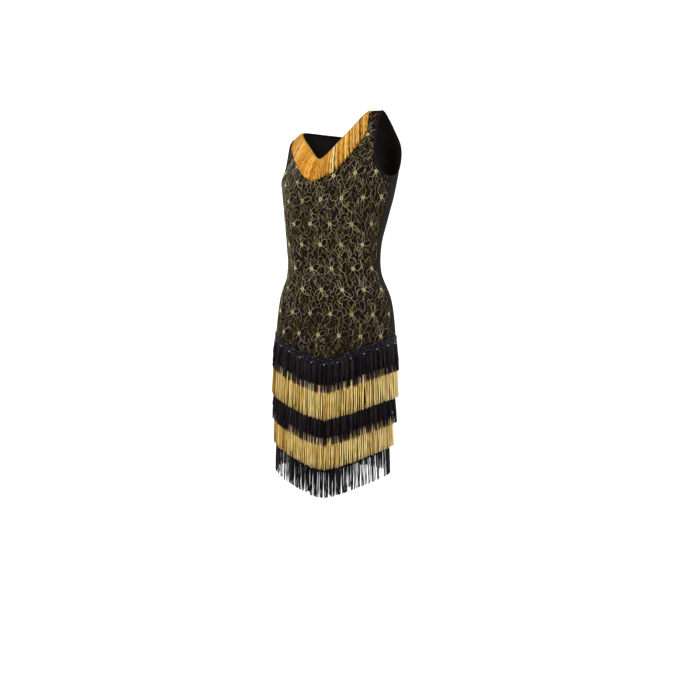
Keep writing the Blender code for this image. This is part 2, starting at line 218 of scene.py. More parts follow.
def cloth(angle, row, out=0.0):
    """Points of the cloth: the form, pressed in by the creases and moved outwards."""
    lift = np.asarray(out, float) - crease(angle, row)
    return shape(angle, row) + outward(angle, row) * lift[..., None]


print("creases:", len(CREASES), "deepest", CREASES[:, 4].max() * 1000, "mm")

# %% [markdown]
# ## Meshes from arrays
# Blender can build a mesh from Python lists, but lists of a hundred thousand points are slow.
# The arrays go in with foreach_set instead: one flat array of coordinates, one of corner
# indexes, and one that says where each face starts.


# %% A mesh from arrays
def add_mesh(name, points, faces, tone=None, uv=None, smooth=True):
    """A mesh object at the origin. faces is a list of index arrays, each [count, corners]; tone
    is one number a point for the material, and uv one pair a point, in metres."""
    mesh = bpy.data.meshes.new(name)
    points = np.ascontiguousarray(points, np.float32).reshape(-1, 3)
    corners = np.concatenate([f.ravel() for f in faces]).astype(np.int32)
    sizes = np.concatenate([np.full(len(f), f.shape[1]) for f in faces])
    starts = np.concatenate([[0], np.cumsum(sizes)[:-1]]).astype(np.int32)
    mesh.vertices.add(len(points))
    mesh.vertices.foreach_set("co", points.ravel())
    mesh.loops.add(len(corners))
    mesh.loops.foreach_set("vertex_index", corners)
    mesh.polygons.add(len(sizes))
    mesh.polygons.foreach_set("loop_start", starts)
    if tone is not None:
        mesh.attributes.new("tone", 'FLOAT', 'POINT').data.foreach_set(
            "value", np.ascontiguousarray(tone, np.float32).ravel())
    if uv is not None:
        flat = np.ascontiguousarray(uv, np.float32).reshape(-1, 2)
        mesh.uv_layers.new(name="cloth").data.foreach_set("uv", flat[corners].ravel())
    mesh.polygons.foreach_set("use_smooth", np.full(len(sizes), smooth))
    mesh.update(calc_edges=True)
    mesh.validate()
    made = bpy.data.objects.new(name, mesh)
    bpy.context.scene.collection.objects.link(made)
    return made


def dress(piece, material, slot, *nodes):
    """Give a piece its material and let it stand for the solids it is made for; slot isn't used.
    """
    piece.data.materials.append(material)
    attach(piece, BODY)
    if nodes:
        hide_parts(*nodes)
    triangles = sum(len(p.vertices) - 2 for p in piece.data.polygons)
    print(f"{piece.name}: {triangles} triangles")
    return piece


def grid_faces(rows, columns, first=0):
    """Quads of a grid whose points are numbered along each row."""
    i, j = np.meshgrid(np.arange(rows - 1), np.arange(columns - 1), indexing="ij")
    a = (first + i * columns + j).ravel()
    return np.stack([a, a + 1, a + 1 + columns, a + columns], 1)


def tubes(paths, radius, normal, sides=3, squash=1.0, twist=0.0):
    """Closed tubes round many paths at once. paths is [tubes, points, 3]; each ring is
    p + r (cos q side + sin q up), with side and up square to the path, and up close to normal.
    Returns the points and the faces."""
    count, length, _ = paths.shape
    radius = np.broadcast_to(radius, paths.shape[:2])
    ahead = unit(np.gradient(paths, axis=1))
    side = unit(np.cross(ahead, normal))
    up = unit(np.cross(side, ahead))
    q = np.arange(sides) * 2 * math.pi / sides + math.pi / 2
    q = q[None, None, :] + np.broadcast_to(twist, (count,))[:, None, None]
    ring = (np.cos(q)[..., None] * side[:, :, None] + squash * np.sin(q)[..., None]
            * up[:, :, None]) * radius[:, :, None, None]
    points = paths[:, :, None] + ring
    base = (np.arange(count) * length * sides)[:, None, None]
    i = np.arange(length - 1)[None, :, None] * sides
    k = np.arange(sides)[None, None, :]
    m = (k + 1) % sides
    quads = np.stack([base + i + k, base + i + m, base + i + sides + m, base + i + sides + k], -1)
    start = base[:, :, 0] + np.arange(sides)
    end = start[:, ::-1] + (length - 1) * sides
    return points.reshape(-1, 3), [quads.reshape(-1, 4)[:, ::-1], start, end]


SEED = 1926                   # one fixed seed, so that every run makes the same dress
rng = np.random.default_rng(SEED)

# %% [markdown]
# ## Cutting the panels
# A maker cuts a front and a back, and the V neck and the armholes are curves of those cuts. The
# neckline is a hyperbola's leg, round at its low point and straight above it, and the armhole is
# a quarter of a superellipse. The hem rises from the centre front to the sides in the same V as
# the tiers, so one function, vee(), gives that line to all of them.

# %% Edges of the cut
SIDE_SEAM = math.radians(86)  # from the centre front
HEM_HEIGHT = -0.917           # height of the hem at the centre front
NECK_ROUND = 0.016            # how round the neckline's low point is
FRONT_NECK_LOW = -0.106
BACK_NECK_LOW = -0.040
ARMHOLE_LOW = -0.170
ARMHOLE_ROUND = 2.4           # exponent of the armhole's curve; 2 is a quarter of an ellipse
FRONT_SCOOP = 0.55            # share of the armhole's height over which it curves in
BACK_SCOOP = 0.90
VEE_RISE = 0.056              # rise of the tiers' line from the centre front to the sides
VEE_ROUND = 0.125             # how round its point is
WALL = 0.0010                 # thickness of the knit
EDGE = 0.0012                 # the binding's middle stands this far past a cut edge


def angle_of(x, row):
    """The angle at which a section is x from its middle: the superellipse read backwards."""
    share = np.clip(x / spline(row)[..., HALF_WIDTH], 0, 1)
    return np.arcsin(share ** (FULLNESS / 2))


def inner_edge(row, neck_low):
    """Angle of the neckline: the root of reach^2 - round^2, a hyperbola with straight legs."""
    height = spline(row)[..., HEIGHT]
    steep = (TOP_HEIGHT - neck_low) / (math.hypot(NECK_HALF, NECK_ROUND) - NECK_ROUND)
    reach = np.maximum(height - neck_low, 0) / steep + NECK_ROUND
    return angle_of(np.sqrt(reach ** 2 - NECK_ROUND ** 2), row)


def outer_edge(row, seam, scoop):
    """Angle of the side seam and, above it, the armhole: (1 - (1 - t)^n)^(1/n) of the way in."""
    height = spline(row)[..., HEIGHT]
    climb = np.clip((height - ARMHOLE_LOW) / (TOP_HEIGHT - ARMHOLE_LOW) / scoop, 0, 1)
    curve = (1 - (1 - climb) ** ARMHOLE_ROUND) ** (1 / ARMHOLE_ROUND)
    return seam + (angle_of(STRAP_OUTER, row) - seam) * curve


def vee(angle):
    """A tier's line: a hyperbola from 0 at the centre front to 1 at the sides and the back."""
    turned = np.abs((np.asarray(angle) + np.pi) % (2 * np.pi) - np.pi)
    across = np.sin(np.minimum(turned, np.pi / 2))
    return (np.hypot(across, VEE_ROUND) - VEE_ROUND) / (math.hypot(1, VEE_ROUND) - VEE_ROUND)


PANELS = {
    "front": dict(centre=0.0, seam=SIDE_SEAM, neck_low=FRONT_NECK_LOW, scoop=FRONT_SCOOP),
    "back": dict(centre=math.pi, seam=math.pi - SIDE_SEAM, neck_low=BACK_NECK_LOW,
                 scoop=BACK_SCOOP),
}

# %% [markdown]
# ## True lengths on the cloth
# Lace and knit have a real repeat, so they need a map of the cloth in metres. One axis is the
# length round the body from the centre front, added up from short steps. The other is the
# length up the centre front. A table of these sums turns a place on the flat lace into an angle
# and a row on the dress.

# %% Length tables
RIDGE_GAP = 0.02              # tables and trims end this part of a row below the ridge
BODY_RADIUS = 0.15            # roughly; it turns a length round the body into an angle
MAP_ANGLES = np.radians(np.linspace(-180, 180, 721))
MAP_ROWS = np.linspace(0, TOP_ROW - RIDGE_GAP, 481)
CENTRE_FRONT = len(MAP_ANGLES) // 2
net = shape(MAP_ANGLES[None, :], MAP_ROWS[:, None])
steps_round = np.linalg.norm(np.diff(net, axis=1), axis=2)
AROUND = np.concatenate([np.zeros((len(MAP_ROWS), 1)), np.cumsum(steps_round, 1)], 1)
AROUND -= AROUND[:, [CENTRE_FRONT]]
steps_up = np.linalg.norm(np.diff(net[:, CENTRE_FRONT], axis=0), axis=1)
UPWARD = np.concatenate([[0], np.cumsum(steps_up)])


def lengths(angle, row):
    """Metres round from the centre front and up from the lowest section, read from the tables
    between their four nearest entries."""
    angle, row = np.broadcast_arrays(np.asarray(angle, float), np.asarray(row, float))
    # the indexes stop just inside the last cell
    last_row, last_angle = len(MAP_ROWS) - 1.001, len(MAP_ANGLES) - 1.001
    i = np.clip(row / MAP_ROWS[1], 0, last_row)
    j = np.clip((angle - MAP_ANGLES[0]) / (MAP_ANGLES[1] - MAP_ANGLES[0]), 0, last_angle)
    a, b = i.astype(int), j.astype(int)
    p, q = i - a, j - b
    around = ((1 - p) * (1 - q) * AROUND[a, b] + p * (1 - q) * AROUND[a + 1, b]
              + (1 - p) * q * AROUND[a, b + 1] + p * q * AROUND[a + 1, b + 1])
    return around, np.interp(row, MAP_ROWS, UPWARD)


def place(around, upward):
    """The angle and row of a place on the flat cloth: Newton's steps on the length round."""
    row = np.interp(upward, UPWARD, MAP_ROWS)
    angle, step = around / BODY_RADIUS, 0.01
    for _ in range(6):
        here = lengths(angle, row)[0]
        gain = np.maximum(lengths(angle + step, row)[0] - here, 1e-5)
        angle = np.clip(angle + (around - here) / gain * step, -3, 3)
    return angle, row


print("girth at the hips:", round(float(np.ptp(AROUND[np.searchsorted(
    MAP_ROWS, row_at(-0.62))])), 3), "m; length up the front:", round(float(UPWARD[-1]), 3), "m")

# %% [markdown]
# ## Front and back
# Each panel is one grid from the centre line out to both sides. Its rows crowd together where an
# armhole or the neckline starts, so those curves stay round. Solidify then gives the knit its
# thickness, outwards from the form.


# %% Panels
SKIRT_ROWS, CHEST_ROWS, YOKE_ROWS = 120, 18, 36
CROWDING = 1.7                # how much the rows crowd above an edge's low point
STRAP_GAP = 0.03              # each strap ends this part of a row below the ridge
SEAM_GAP = 0.0015             # radians by which a panel stops short of the side seam


def panel_rows(neck_low):
    """Rows of a panel's grid: even up the skirt, then as t^crowding from each edge's low
    point."""
    skirt = row_at(np.linspace(HEM_HEIGHT, ARMHOLE_LOW, SKIRT_ROWS))
    crowded = np.linspace(0, 1, CHEST_ROWS + 1)[1:] ** CROWDING
    chest = row_at(ARMHOLE_LOW + (neck_low - ARMHOLE_LOW) * crowded)
    start = row_at(neck_low)
    yoke = start + (TOP_ROW - STRAP_GAP - start) * np.linspace(
        0, 1, YOKE_ROWS + 1)[1:] ** CROWDING
    return np.concatenate([skirt, chest, yoke])


def panel(name, side, half_columns=44):
    """A panel's open surface, with its hem along the tiers' line and its lengths as UV."""
    cut = PANELS[side]
    rows = panel_rows(cut["neck_low"])
    inner = inner_edge(rows, cut["neck_low"])
    outer = outer_edge(rows, cut["seam"] - SEAM_GAP, cut["scoop"])
    across = np.linspace(0, 1, half_columns + 1)
    points, faces, uv = [], [], []
    for hand in (1, -1):
        angle = hand * (inner[:, None] + (outer - inner)[:, None] * across)
        height = spline(rows)[:, HEIGHT][:, None]
        turned = cut["centre"] + angle
        lift = VEE_RISE * vee(turned) * (1 - ease(HEM_HEIGHT, HEM_ZONE[1], height))
        bent = np.where(height < ARMHOLE_LOW, row_at(height + lift), rows[:, None])
        quads = grid_faces(len(rows), half_columns + 1, len(points) * angle.size)
        faces.append(quads if hand > 0 else quads[:, ::-1])
        points.append(cloth(turned, bent).reshape(-1, 3))
        around, upward = lengths((turned + math.pi) % (2 * math.pi) - math.pi, bent)
        if side == "back":
            around = angle * BODY_RADIUS
        uv.append(np.stack([around, upward], -1).reshape(-1, 2))
    made = add_mesh(name, np.concatenate(points), faces, uv=np.concatenate(uv))
    weld = made.modifiers.new("centre", 'WELD')
    weld.merge_threshold = 0.00002
    wall = made.modifiers.new("knit", 'SOLIDIFY')
    wall.thickness = WALL
    wall.offset = 1
    return made


front_cloth = panel("front_cloth", "front")
back_cloth = panel("back_cloth", "back")

# %% [markdown]
# ## The gold lace
# The lace is a net of fine metallic cord: round eyes with long looped petals in a half-drop
# repeat, and a wandering ground of small loops between them. A bump or a picture would look
# painted from the side. Real cords catch the light, so each line becomes a thin three-sided
# cord that lies on the knit. The lines are drawn flat, in metres, then placed on the cloth.

# %% Flowers of the flat lace
REPEAT_WIDE = 0.0557          # from flower to flower
STOREY = 0.0585               # from a row of flowers to the next, which stands half a repeat over
LACE_LEFT = -0.0095           # a column of flowers starts here, from the centre front
LACE_BASE = 0.452             # height of the lowest full row on the map of lengths
GRAIN = 0.08                  # the lace was cut a little off its grain, so its columns lean
ROW_DROP = 0.004              # every second row of flowers sits this much lower
EYE_RADIUS = 0.0031
PETAL_START = 0.0043          # from a flower's middle to the roots of its petals
PETAL_GAP = 0.0008            # from a petal's middle line to its edge at the root and the tip
PETAL_RIPPLE = 0.0010         # how far the edges wander
VEINED = 0.25                 # share of the petals with a line inside
LINE_STEPS = 13
# direction in degrees, length, width and sideways bend of a flower's petals; the first is the
# wide empty one
FLOWER = np.array([
    (14, 0.0270, 0.0118, 0.003),
    (72, 0.0235, 0.0080, 0.006),
    (138, 0.0250, 0.0070, -0.005),
    (200, 0.0225, 0.0090, 0.005),
    (258, 0.0260, 0.0095, -0.006),
    (312, 0.0265, 0.0065, 0.006),
])
PETALS = len(FLOWER)
ACROSS, UPRIGHT = 0.86, 1.12  # worn, the lace is drawn up, so a flower is taller than wide

storey = np.arange(-3, 10)[:, None]
column = np.arange(-6, 7)[None, :]
centre_y = LACE_BASE + storey * STOREY - ROW_DROP * (storey % 2) + 0 * column
centre_x = (LACE_LEFT + GRAIN * (centre_y - LACE_BASE)
            + (column + 0.5 * (storey % 2)) * REPEAT_WIDE)
flowers = np.stack([centre_x, centre_y], -1).reshape(-1, 2)
# no two petals are alike
vary = rng.uniform(-1, 1, (4, len(flowers), PETALS))
petal_way = np.radians(FLOWER[:, 0]) + 0.20 * vary[0]
petal_long = FLOWER[:, 1] * (0.96 + 0.18 * vary[1])
petal_wide = FLOWER[:, 2] * (0.95 + 0.25 * vary[2])
petal_bend = FLOWER[:, 3] + 0.003 * vary[3]


def petal_half(share, wide):
    """Half a petal's width at a share of its length: half of wide sin(pi share^0.85)^0.8."""
    return wide / 2 * np.sin(np.pi * np.clip(share, 0, 1) ** 0.85) ** 0.8


def petal_lines_at(side, first, last):
    """A line along every petal, [petal, point, 2], between two shares of its length. side is 1
    or -1 for its edges and less for a line inside. The petal's middle line bends as t^2, and
    its edges wander by a sine."""
    t = np.linspace(first, last, LINE_STEPS)
    long, wide, bend, way = (v.reshape(-1, 1) for v in (petal_long, petal_wide, petal_bend,
                                                       petal_way))
    phase = rng.uniform(0, 6.28, long.shape)
    ripple = PETAL_RIPPLE * np.sin(t * 15 + phase) * np.sin(np.pi * t)
    reach = PETAL_START + long * t
    across = side * (petal_half(t, wide) + PETAL_GAP) + ripple + bend * t ** 2
    x = np.repeat(flowers[:, 0], PETALS)[:, None]
    y = np.repeat(flowers[:, 1], PETALS)[:, None]
    return np.stack([x + ACROSS * (reach * np.cos(way) - across * np.sin(way)),
                     y + UPRIGHT * (reach * np.sin(way) + across * np.cos(way))], -1)


petal_lines = np.concatenate([petal_lines_at(1, 0, 1), petal_lines_at(-1, 0, 1)])
inner = petal_lines_at(0.15, 0.35, 0.95).reshape(len(flowers), PETALS, LINE_STEPS, 2)[:, 1:]
inner = inner.reshape(-1, LINE_STEPS, 2)
petal_lines = np.concatenate([petal_lines, inner[rng.random(len(inner)) < VEINED]])
q = np.linspace(0, 2 * math.pi, LINE_STEPS)
eye_lines = flowers[:, None] + EYE_RADIUS * np.stack([np.cos(q), np.sin(q)], -1)

# %% [markdown]
# The ground is a net of cords that run up the cloth and lean in turn on their left and right
# neighbours, like the cords of a fishing net. Long and short waves warp it, so that no two
# meshes are alike and the cords wander like worm tracks. The petals stay open.

# %% The wandering ground of the lace
CORD_PITCH = 0.0058           # between neighbouring cords
MESH_TALL = 0.0112            # from one crossing to the next above it
CORD_LEAN = 0.44              # how far a cord leans each way, as a share of the pitch
NET_WIDE, NET_TALL = 0.50, 1.06
MISSING = 0.06                # share of the net's pieces that are left out
EYE_CLEAR = 0.0075            # the net keeps this far from a flower's middle
PETAL_CLEAR = 0.0016          # and this far from a petal's edge
GROUND_POINTS = 6
# size of the push, and waves for each metre across and up, once for each direction
WARPS = np.array([
    (0.0026, 61, 143, 0.0026, 151, -73),
    (0.0020, 213, -197, 0.0022, 297, 257),
    (0.0016, 401, 311, 0.0016, 337, -383),
    (0.0011, -557, 463, 0.0012, 611, 521),
    (0.0006, 983, 877, 0.0006, -1061, 907),
])


def warp(x, y):
    """The net's disorder: sums of sines of x and y, of a few millimetres."""
    u, v = x, y
    for number, (push, a, b, lift, c, d) in enumerate(WARPS):
        u = u + push * np.sin(a * x + b * y + 1.3 * number)
        v = v + lift * np.sin(c * x + d * y + 2.1 * number)
    return u, v


cord_count = int(NET_WIDE / CORD_PITCH)
run_count = int(NET_TALL / MESH_TALL)
cord = (np.arange(cord_count) - cord_count / 2)[:, None, None]
run = np.arange(run_count)[None, :, None]
t = np.linspace(0, 1, GROUND_POINTS)[None, None, :]
sway = np.where(cord.astype(int) % 2 == 0, 1, -1) * np.cos(math.pi * (run + t))
ground_x, ground_y = warp((cord + CORD_LEAN * sway) * CORD_PITCH + 0 * t,
                          (run + t) * MESH_TALL + 0 * cord)
ground = np.stack([ground_x, ground_y], -1).reshape(-1, GROUND_POINTS, 2)
spot = ground[:, GROUND_POINTS // 2]
open_cloth = rng.random(len(ground)) < MISSING
for number, (x, y) in enumerate(flowers):
    east, north = (spot[:, 0] - x) / ACROSS, (spot[:, 1] - y) / UPRIGHT
    open_cloth |= np.hypot(east, north) < EYE_CLEAR
    for way, long, wide, bend in zip(petal_way[number], petal_long[number], petal_wide[number],
                                     petal_bend[number]):
        reach = (east * math.cos(way) + north * math.sin(way) - PETAL_START) / long
        across = np.abs(north * math.cos(way) - east * math.sin(way) - bend * reach ** 2)
        open_cloth |= (reach > 0) & (reach < 1) & (across < petal_half(reach, wide) + PETAL_CLEAR)
ground = ground[~open_cloth]
print("lace lines:", len(petal_lines), "of petals,", len(ground), "of ground")

# %% [markdown]
# Lines that leave the front panel are cut away, piece by piece. What is left is placed on the
# cloth and wrapped in a thin cord. A petal's cord is brightest beside its eye.

# %% Lace on the front
LACE_BOTTOM = -0.620          # the lace ends under the top tier's heading
LACE_SEAM_GAP = 0.006         # radians that the lace keeps from the side seam and the armhole
LACE_NECK_GAP = 0.02          # radians that it keeps from the neckline
LACE_RIDGE_GAP = 0.10         # part of a row that it keeps below the shoulder's ridge
BRIGHT_END = 0.35             # share of a line over which the brightness of its start fades


def lace_piece(name, lines, width, seat, cut=1, bottom=LACE_BOTTOM, squash=0.5, bright=0.0,
               light=0.0):
    """Cords along flat lines [line, point, 2], kept where they lie on the front panel. Each line
    is cut into a number of parts, and a part that leaves the panel goes. bright is added to the
    tone at a line's start, and light all along it."""
    lines = np.asarray(lines)
    tone = np.broadcast_to(rng.random((len(lines), 1)), lines.shape[:2]) + light
    tone = tone + bright * np.clip(1 - np.linspace(0, 1, lines.shape[1]) / BRIGHT_END, 0, 1)
    size = (lines.shape[1] - 1) // cut
    lines = np.concatenate([lines[:, k * size:(k + 1) * size + 1] for k in range(cut)])
    tone = np.concatenate([tone[:, k * size:(k + 1) * size + 1] for k in range(cut)])
    angle, row = place(lines[..., 0], lines[..., 1])
    height = spline(row)[..., HEIGHT]
    neck = inner_edge(row, FRONT_NECK_LOW) + LACE_NECK_GAP * (height > FRONT_NECK_LOW)
    inside = np.abs(angle) < outer_edge(row, SIDE_SEAM, FRONT_SCOOP) - LACE_SEAM_GAP
    inside &= np.abs(angle) > neck
    inside &= height > bottom + VEE_RISE * vee(angle)
    inside &= row < TOP_ROW - LACE_RIDGE_GAP
    keep = inside.all(1)
    angle, row, height, tone = angle[keep], row[keep], height[keep], tone[keep]
    # painted shade: the lace is darker towards the hem, where the form turns under, and towards
    # the left side seam
    tone = tone - 0.24 * ease(0.42, 0.56, -height) - 0.20 * ease(0.75, 1.2, angle)
    path = cloth(angle, row, seat)
    radius = width / 2 * (1 + 0.15 * np.sin(np.arange(path.shape[1]) * 1.9))[None, :]
    points, faces = tubes(path, radius, outward(angle, row), 3, squash)
    return add_mesh(name, points, faces, tone=np.repeat(tone.ravel(), 3))


LACE_SEAT = WALL + 0.0002
lace_petals = lace_piece("lace_petals", petal_lines, 0.00100, LACE_SEAT, cut=3, bright=0.32,
                         light=0.11)
lace_ground = lace_piece("lace_ground", ground, 0.00105, LACE_SEAT, light=-0.08)
lace_eyes = lace_piece("lace_eyes", eye_lines, 0.0022, LACE_SEAT + 0.0003,
                       bottom=LACE_BOTTOM + 0.003)

# %% [markdown]
# ## Bound edges
# The armholes and the neckline are bound with black bias tape, folded over the raw edge. A tube
# alone would look like piping, so the section is a flat oval, with a row of stitches beside it.


# %% Binding
BINDING_HALF = 0.0026         # half the folded tape's width
BINDING_THICK = 0.0014        # half its thickness
BINDING_SIDES = 10
STITCH_PITCH = 0.0034
STITCH_PARTS = 8              # a stitch covers the first five parts of its pitch
STITCH_IN = 0.0014            # the stitches run this far inside the tape's middle
STITCH_OUT = 0.00125          # and this far above it
STITCH_RISE = 0.00025         # a stitch stands up at its middle
THREAD = 0.00024              # radius of the thread


def edge_run(side, hand, which, count=90):
    """Angles and rows up one edge of a panel, from its lowest point to the shoulder."""
    cut = PANELS[side]
    low = cut["neck_low"] if which == "neck" else ARMHOLE_LOW
    start = row_at(low)
    rows = start + (TOP_ROW - start) * np.linspace(0, 1, count) ** 2
    if which == "neck":
        turn = inner_edge(rows, low)
    else:
        turn = outer_edge(rows, cut["seam"], cut["scoop"])
    return cut["centre"] + hand * turn, rows


def backwards(run):
    """The same run from its other end."""
    return run[0][::-1], run[1][::-1]


def even(points, extra, count):
    """A closed line of points, and the values beside them, at equal lengths along it."""
    line = np.vstack([points, points[:1]])
    length = np.concatenate([[0], np.cumsum(np.linalg.norm(np.diff(line, axis=0), axis=1))])
    wanted = np.linspace(0, length[-1], count + 1)[:-1]
    more = np.vstack([extra, extra[:1]])
    return (np.stack([np.interp(wanted, length, line[:, k]) for k in range(3)], 1),
            np.stack([np.interp(wanted, length, more[:, k]) for k in range(3)], 1), length[-1])


def binding(name, runs, into, stations):
    """A closed band along runs of edge. Its section is an oval,
    p + a cos q away + b sin q outward, and the stitches sit on its outer side. into is 1 or -1,
    whichever turns away off the cloth."""
    points = np.vstack([cloth(a, r) for a, r in runs])
    squares = np.vstack([outward(a, r) for a, r in runs])
    keep = np.append(np.linalg.norm(np.diff(points, axis=0), axis=1) > 1e-5, True)
    path, square, length = even(points[keep], squares[keep], stations)
    square = unit(square + np.roll(square, 1, 0) + np.roll(square, -1, 0))
    ahead = unit(np.roll(path, -1, 0) - np.roll(path, 1, 0))
    away = unit(np.cross(square, ahead)) * into
    square = unit(np.cross(ahead, away) * into)
    middle = path + away * EDGE + square * WALL / 2
    q = np.arange(BINDING_SIDES) * 2 * math.pi / BINDING_SIDES
    ring = (middle[:, None] + away[:, None] * np.cos(q)[None, :, None] * BINDING_HALF
            + square[:, None] * np.sin(q)[None, :, None] * BINDING_THICK)
    i, k = np.meshgrid(np.arange(stations), np.arange(BINDING_SIDES), indexing="ij")
    j, m = (i + 1) % stations, (k + 1) % BINDING_SIDES
    quads = np.stack([i * BINDING_SIDES + k, i * BINDING_SIDES + m, j * BINDING_SIDES + m,
                      j * BINDING_SIDES + k], -1).reshape(-1, 4)
    along = np.linspace(0, length, stations, endpoint=False)
    uv = np.stack([np.broadcast_to(along[:, None], ring.shape[:2]),
                   np.broadcast_to(q * BINDING_HALF, ring.shape[:2])], -1)
    made = add_mesh(name, ring, [quads if into > 0 else quads[:, ::-1]], uv=uv)
    count = int(length / STITCH_PITCH)
    spots, ups, _ = even(middle - away * STITCH_IN + square * STITCH_OUT, square,
                         count * STITCH_PARTS)
    ups = ups[::STITCH_PARTS]
    start, top, end = (spots[part::STITCH_PARTS] for part in (0, 2, 5))
    stitch = np.stack([start, top + ups * STITCH_RISE, end], 1)
    cords, faces = tubes(stitch, THREAD, ups[:, None, :] + np.zeros((count, 3, 3)), 4)
    return made, add_mesh(name + "_stitches", cords, faces)


neck_runs = [backwards(edge_run("front", -1, "neck")), edge_run("front", 1, "neck"),
             backwards(edge_run("back", -1, "neck")), edge_run("back", 1, "neck")]
# name, runs of edge, side, stations along it, and the solid that it stands for
BOUND = [("neck_tape", neck_runs, 1, 300, "neck_binding")]
for word, hand in (("left", 1), ("right", -1)):
    arm_runs = [edge_run("front", hand, "arm"), backwards(edge_run("back", -hand, "arm"))]
    BOUND.append((f"armhole_tape_{word}", arm_runs, -hand, 220, f"armhole_binding_{word}"))
tapes = [(binding(*entry), node) for *entry, node in BOUND]

# %% [markdown]
# ## Fringe
# Chainette fringe is hundreds of soft rayon strands that hang from a woven heading. Particle
# hair can't be exported as a mesh, so each strand is a thin tube with its own length, sway and
# tone. Strands cling together towards their ends, which opens narrow gaps, so each one is drawn
# towards the middle of its own clump more and more as it falls.

# %% Strands of the tiers
TIER_TOP = -0.618             # upper edge of the top heading at the centre front
TIER_PITCH = 0.0688           # from one heading to the next
BLACK_HEADING = 0.022
GOLD_HEADING = 0.012
HEADING_SEAT = 0.0021         # the headings lie this far outside the form
HEADING_THICK = 0.0012
STRAND_POINTS = 8
STRAND_SEAT = 0.0007          # the strands lie at least this far outside the heading's middle
STRAND_PILE = 0.0012          # and are piled up over this much more
GOLD_LAYER = 0.0009           # the upper gold strands lie this much higher than the deep ones
BLACK_SEWN = 0.003            # length of strand that is sewn over the heading
GOLD_SEWN = 0.010
SPARSE_ZONE = (0.35, 0.90)    # angles from the front over which a tier thins out
CLUMP_SWAY = 0.0009           # how far a clump's ends swing aside
TIER_SEED = 10                # each tier draws its own random numbers
# count and sparse: strands of a full ring, and the share left out at the sides and the back;
# radius: of a strand; clump, draw and late: a clump's mean width, how much of the way to its
# middle the strands are drawn, and how late in their fall; short and shorter: the share of
# every second clump that is cut shorter, and by how much; even: the unevenness of the cut;
# long: the trim's width; flare: how far the ends stand out
BLACK = dict(black=True, count=1000, sparse=0.0, radius=0.00070, clump=0.0028, draw=0.60,
             late=0.7, short=0.72, shorter=(0.014, 0.036), even=0.0007, long=0.0900,
             flare=0.0060)
GOLD = dict(black=False, count=740, sparse=0.0, radius=0.00072, clump=0.0042, draw=0.26,
            late=1.0, short=0.05, shorter=(0.003, 0.012), even=0.0015, long=0.0900,
            flare=0.0055)
TIERS = {
    "black_1": BLACK,
    "gold_1": dict(GOLD, draw=0.37),
    "black_2": BLACK,
    "gold_2": dict(GOLD, long=0.0835, flare=0.0030),
    "black_3": dict(BLACK, count=1350, sparse=0.5, radius=0.00068, clump=0.0058, draw=0.36,
                    late=0.45, short=0.14, shorter=(0.003, 0.012), even=0.0012,
                    flare=0.0024),
}
PARTING = math.radians(40)    # the top gold tier parts here and shows the black behind it
PARTING_PUSH = 0.0026
PARTING_WIDE = 0.0045


def edge_ring(height):
    """Angles round the ring where a heading's edge lies, and the length round it to each."""
    fine = np.linspace(-math.pi, math.pi, 1441)
    points = shape(fine, row_at(height + VEE_RISE * vee(fine)))
    steps = np.linalg.norm(np.diff(points, axis=0), axis=1)
    return fine, np.concatenate([[0], np.cumsum(steps)])


def clumps(along, total, width, chance):
    """For each place, the middle of its clump and a number for the clump. Clumps have uneven
    widths round a mean."""
    widths = width * chance.uniform(0.5, 1.6, int(total / width * 1.3) + 2)
    edges = np.cumsum(widths)
    edges = edges[edges < total]
    number = np.searchsorted(edges, along)
    bounds = np.concatenate([[0], edges, [total]])
    return (bounds[number] + bounds[number + 1]) / 2, number


def hashed(number, turn):
    """A number from 0 to 1 that depends only on a clump's number: the fraction of a large sine."""
    return np.sin(number * 12.9898 + turn) * 43758.5453 % 1


def parting(away, t):
    """A push aside of push exp(-(away/width)^2), which grows down the strands."""
    push = np.sign(away) * PARTING_PUSH * np.exp(-(away / PARTING_WIDE) ** 2)
    return push[:, None] * ease(0.2, 0.55, t)


# %% [markdown]
# One tone a point picks a strand's colour. Under the hem of the tier above, a gold strand is
# seen against the dark of the dress and lies in that tier's shade, so by groups of strands its
# root is painted either pale, as if lit, or almost black, a painted shade. Lower down it is
# painted warmer and darker where it lies deep and on the wearer's right side, and a little paler
# on the left: painted shade and light.

# %% Tones of the gold strands
ROOT_GROUP = 0.0030           # width of the groups that are painted pale or dark together at the root
ROOT_PAINTED_LIGHT_SHARE = 0.40              # share of these groups that is painted pale, as if lit
ROOT_PAINTED_SHADE = -0.1              # tone of the others: a painted shade


def gold_tone(tone, angle, deep, number, group, t):
    """Tones along the gold strands, [strand, point]: a mean of two values, the root's and the
    free part's, whose weights change over a short part of the length."""
    # painted shade: deep strands and the wearer's right side are darker and warmer, and the left
    # side is a little paler as if lit; at the sides each clump also differs at random
    painted_shade_and_tone = 0.33 * ease(0.65, 1.30, -angle) - 0.10 * ease(0.6, 1.2, angle) + 0.75 * deep
    painted_shade_and_tone = painted_shade_and_tone + ease(0.35, 0.9, np.abs(angle)) * (0.28 - 0.55 * hashed(number, 5.2))
    free = 0.205 + 0.92 * tone - painted_shade_and_tone[:, None]
    # painted light and shade at the root: pale groups look lit, the others take a painted shade
    painted_light = 0.45 + 1.05 * np.sqrt(hashed(group, 6.6))
    root = np.where(hashed(group, 3.3) < ROOT_PAINTED_LIGHT_SHARE, painted_light, ROOT_PAINTED_SHADE)[:, None]
    return free + (root - free) * (1 - ease(0.16, 0.30, t))


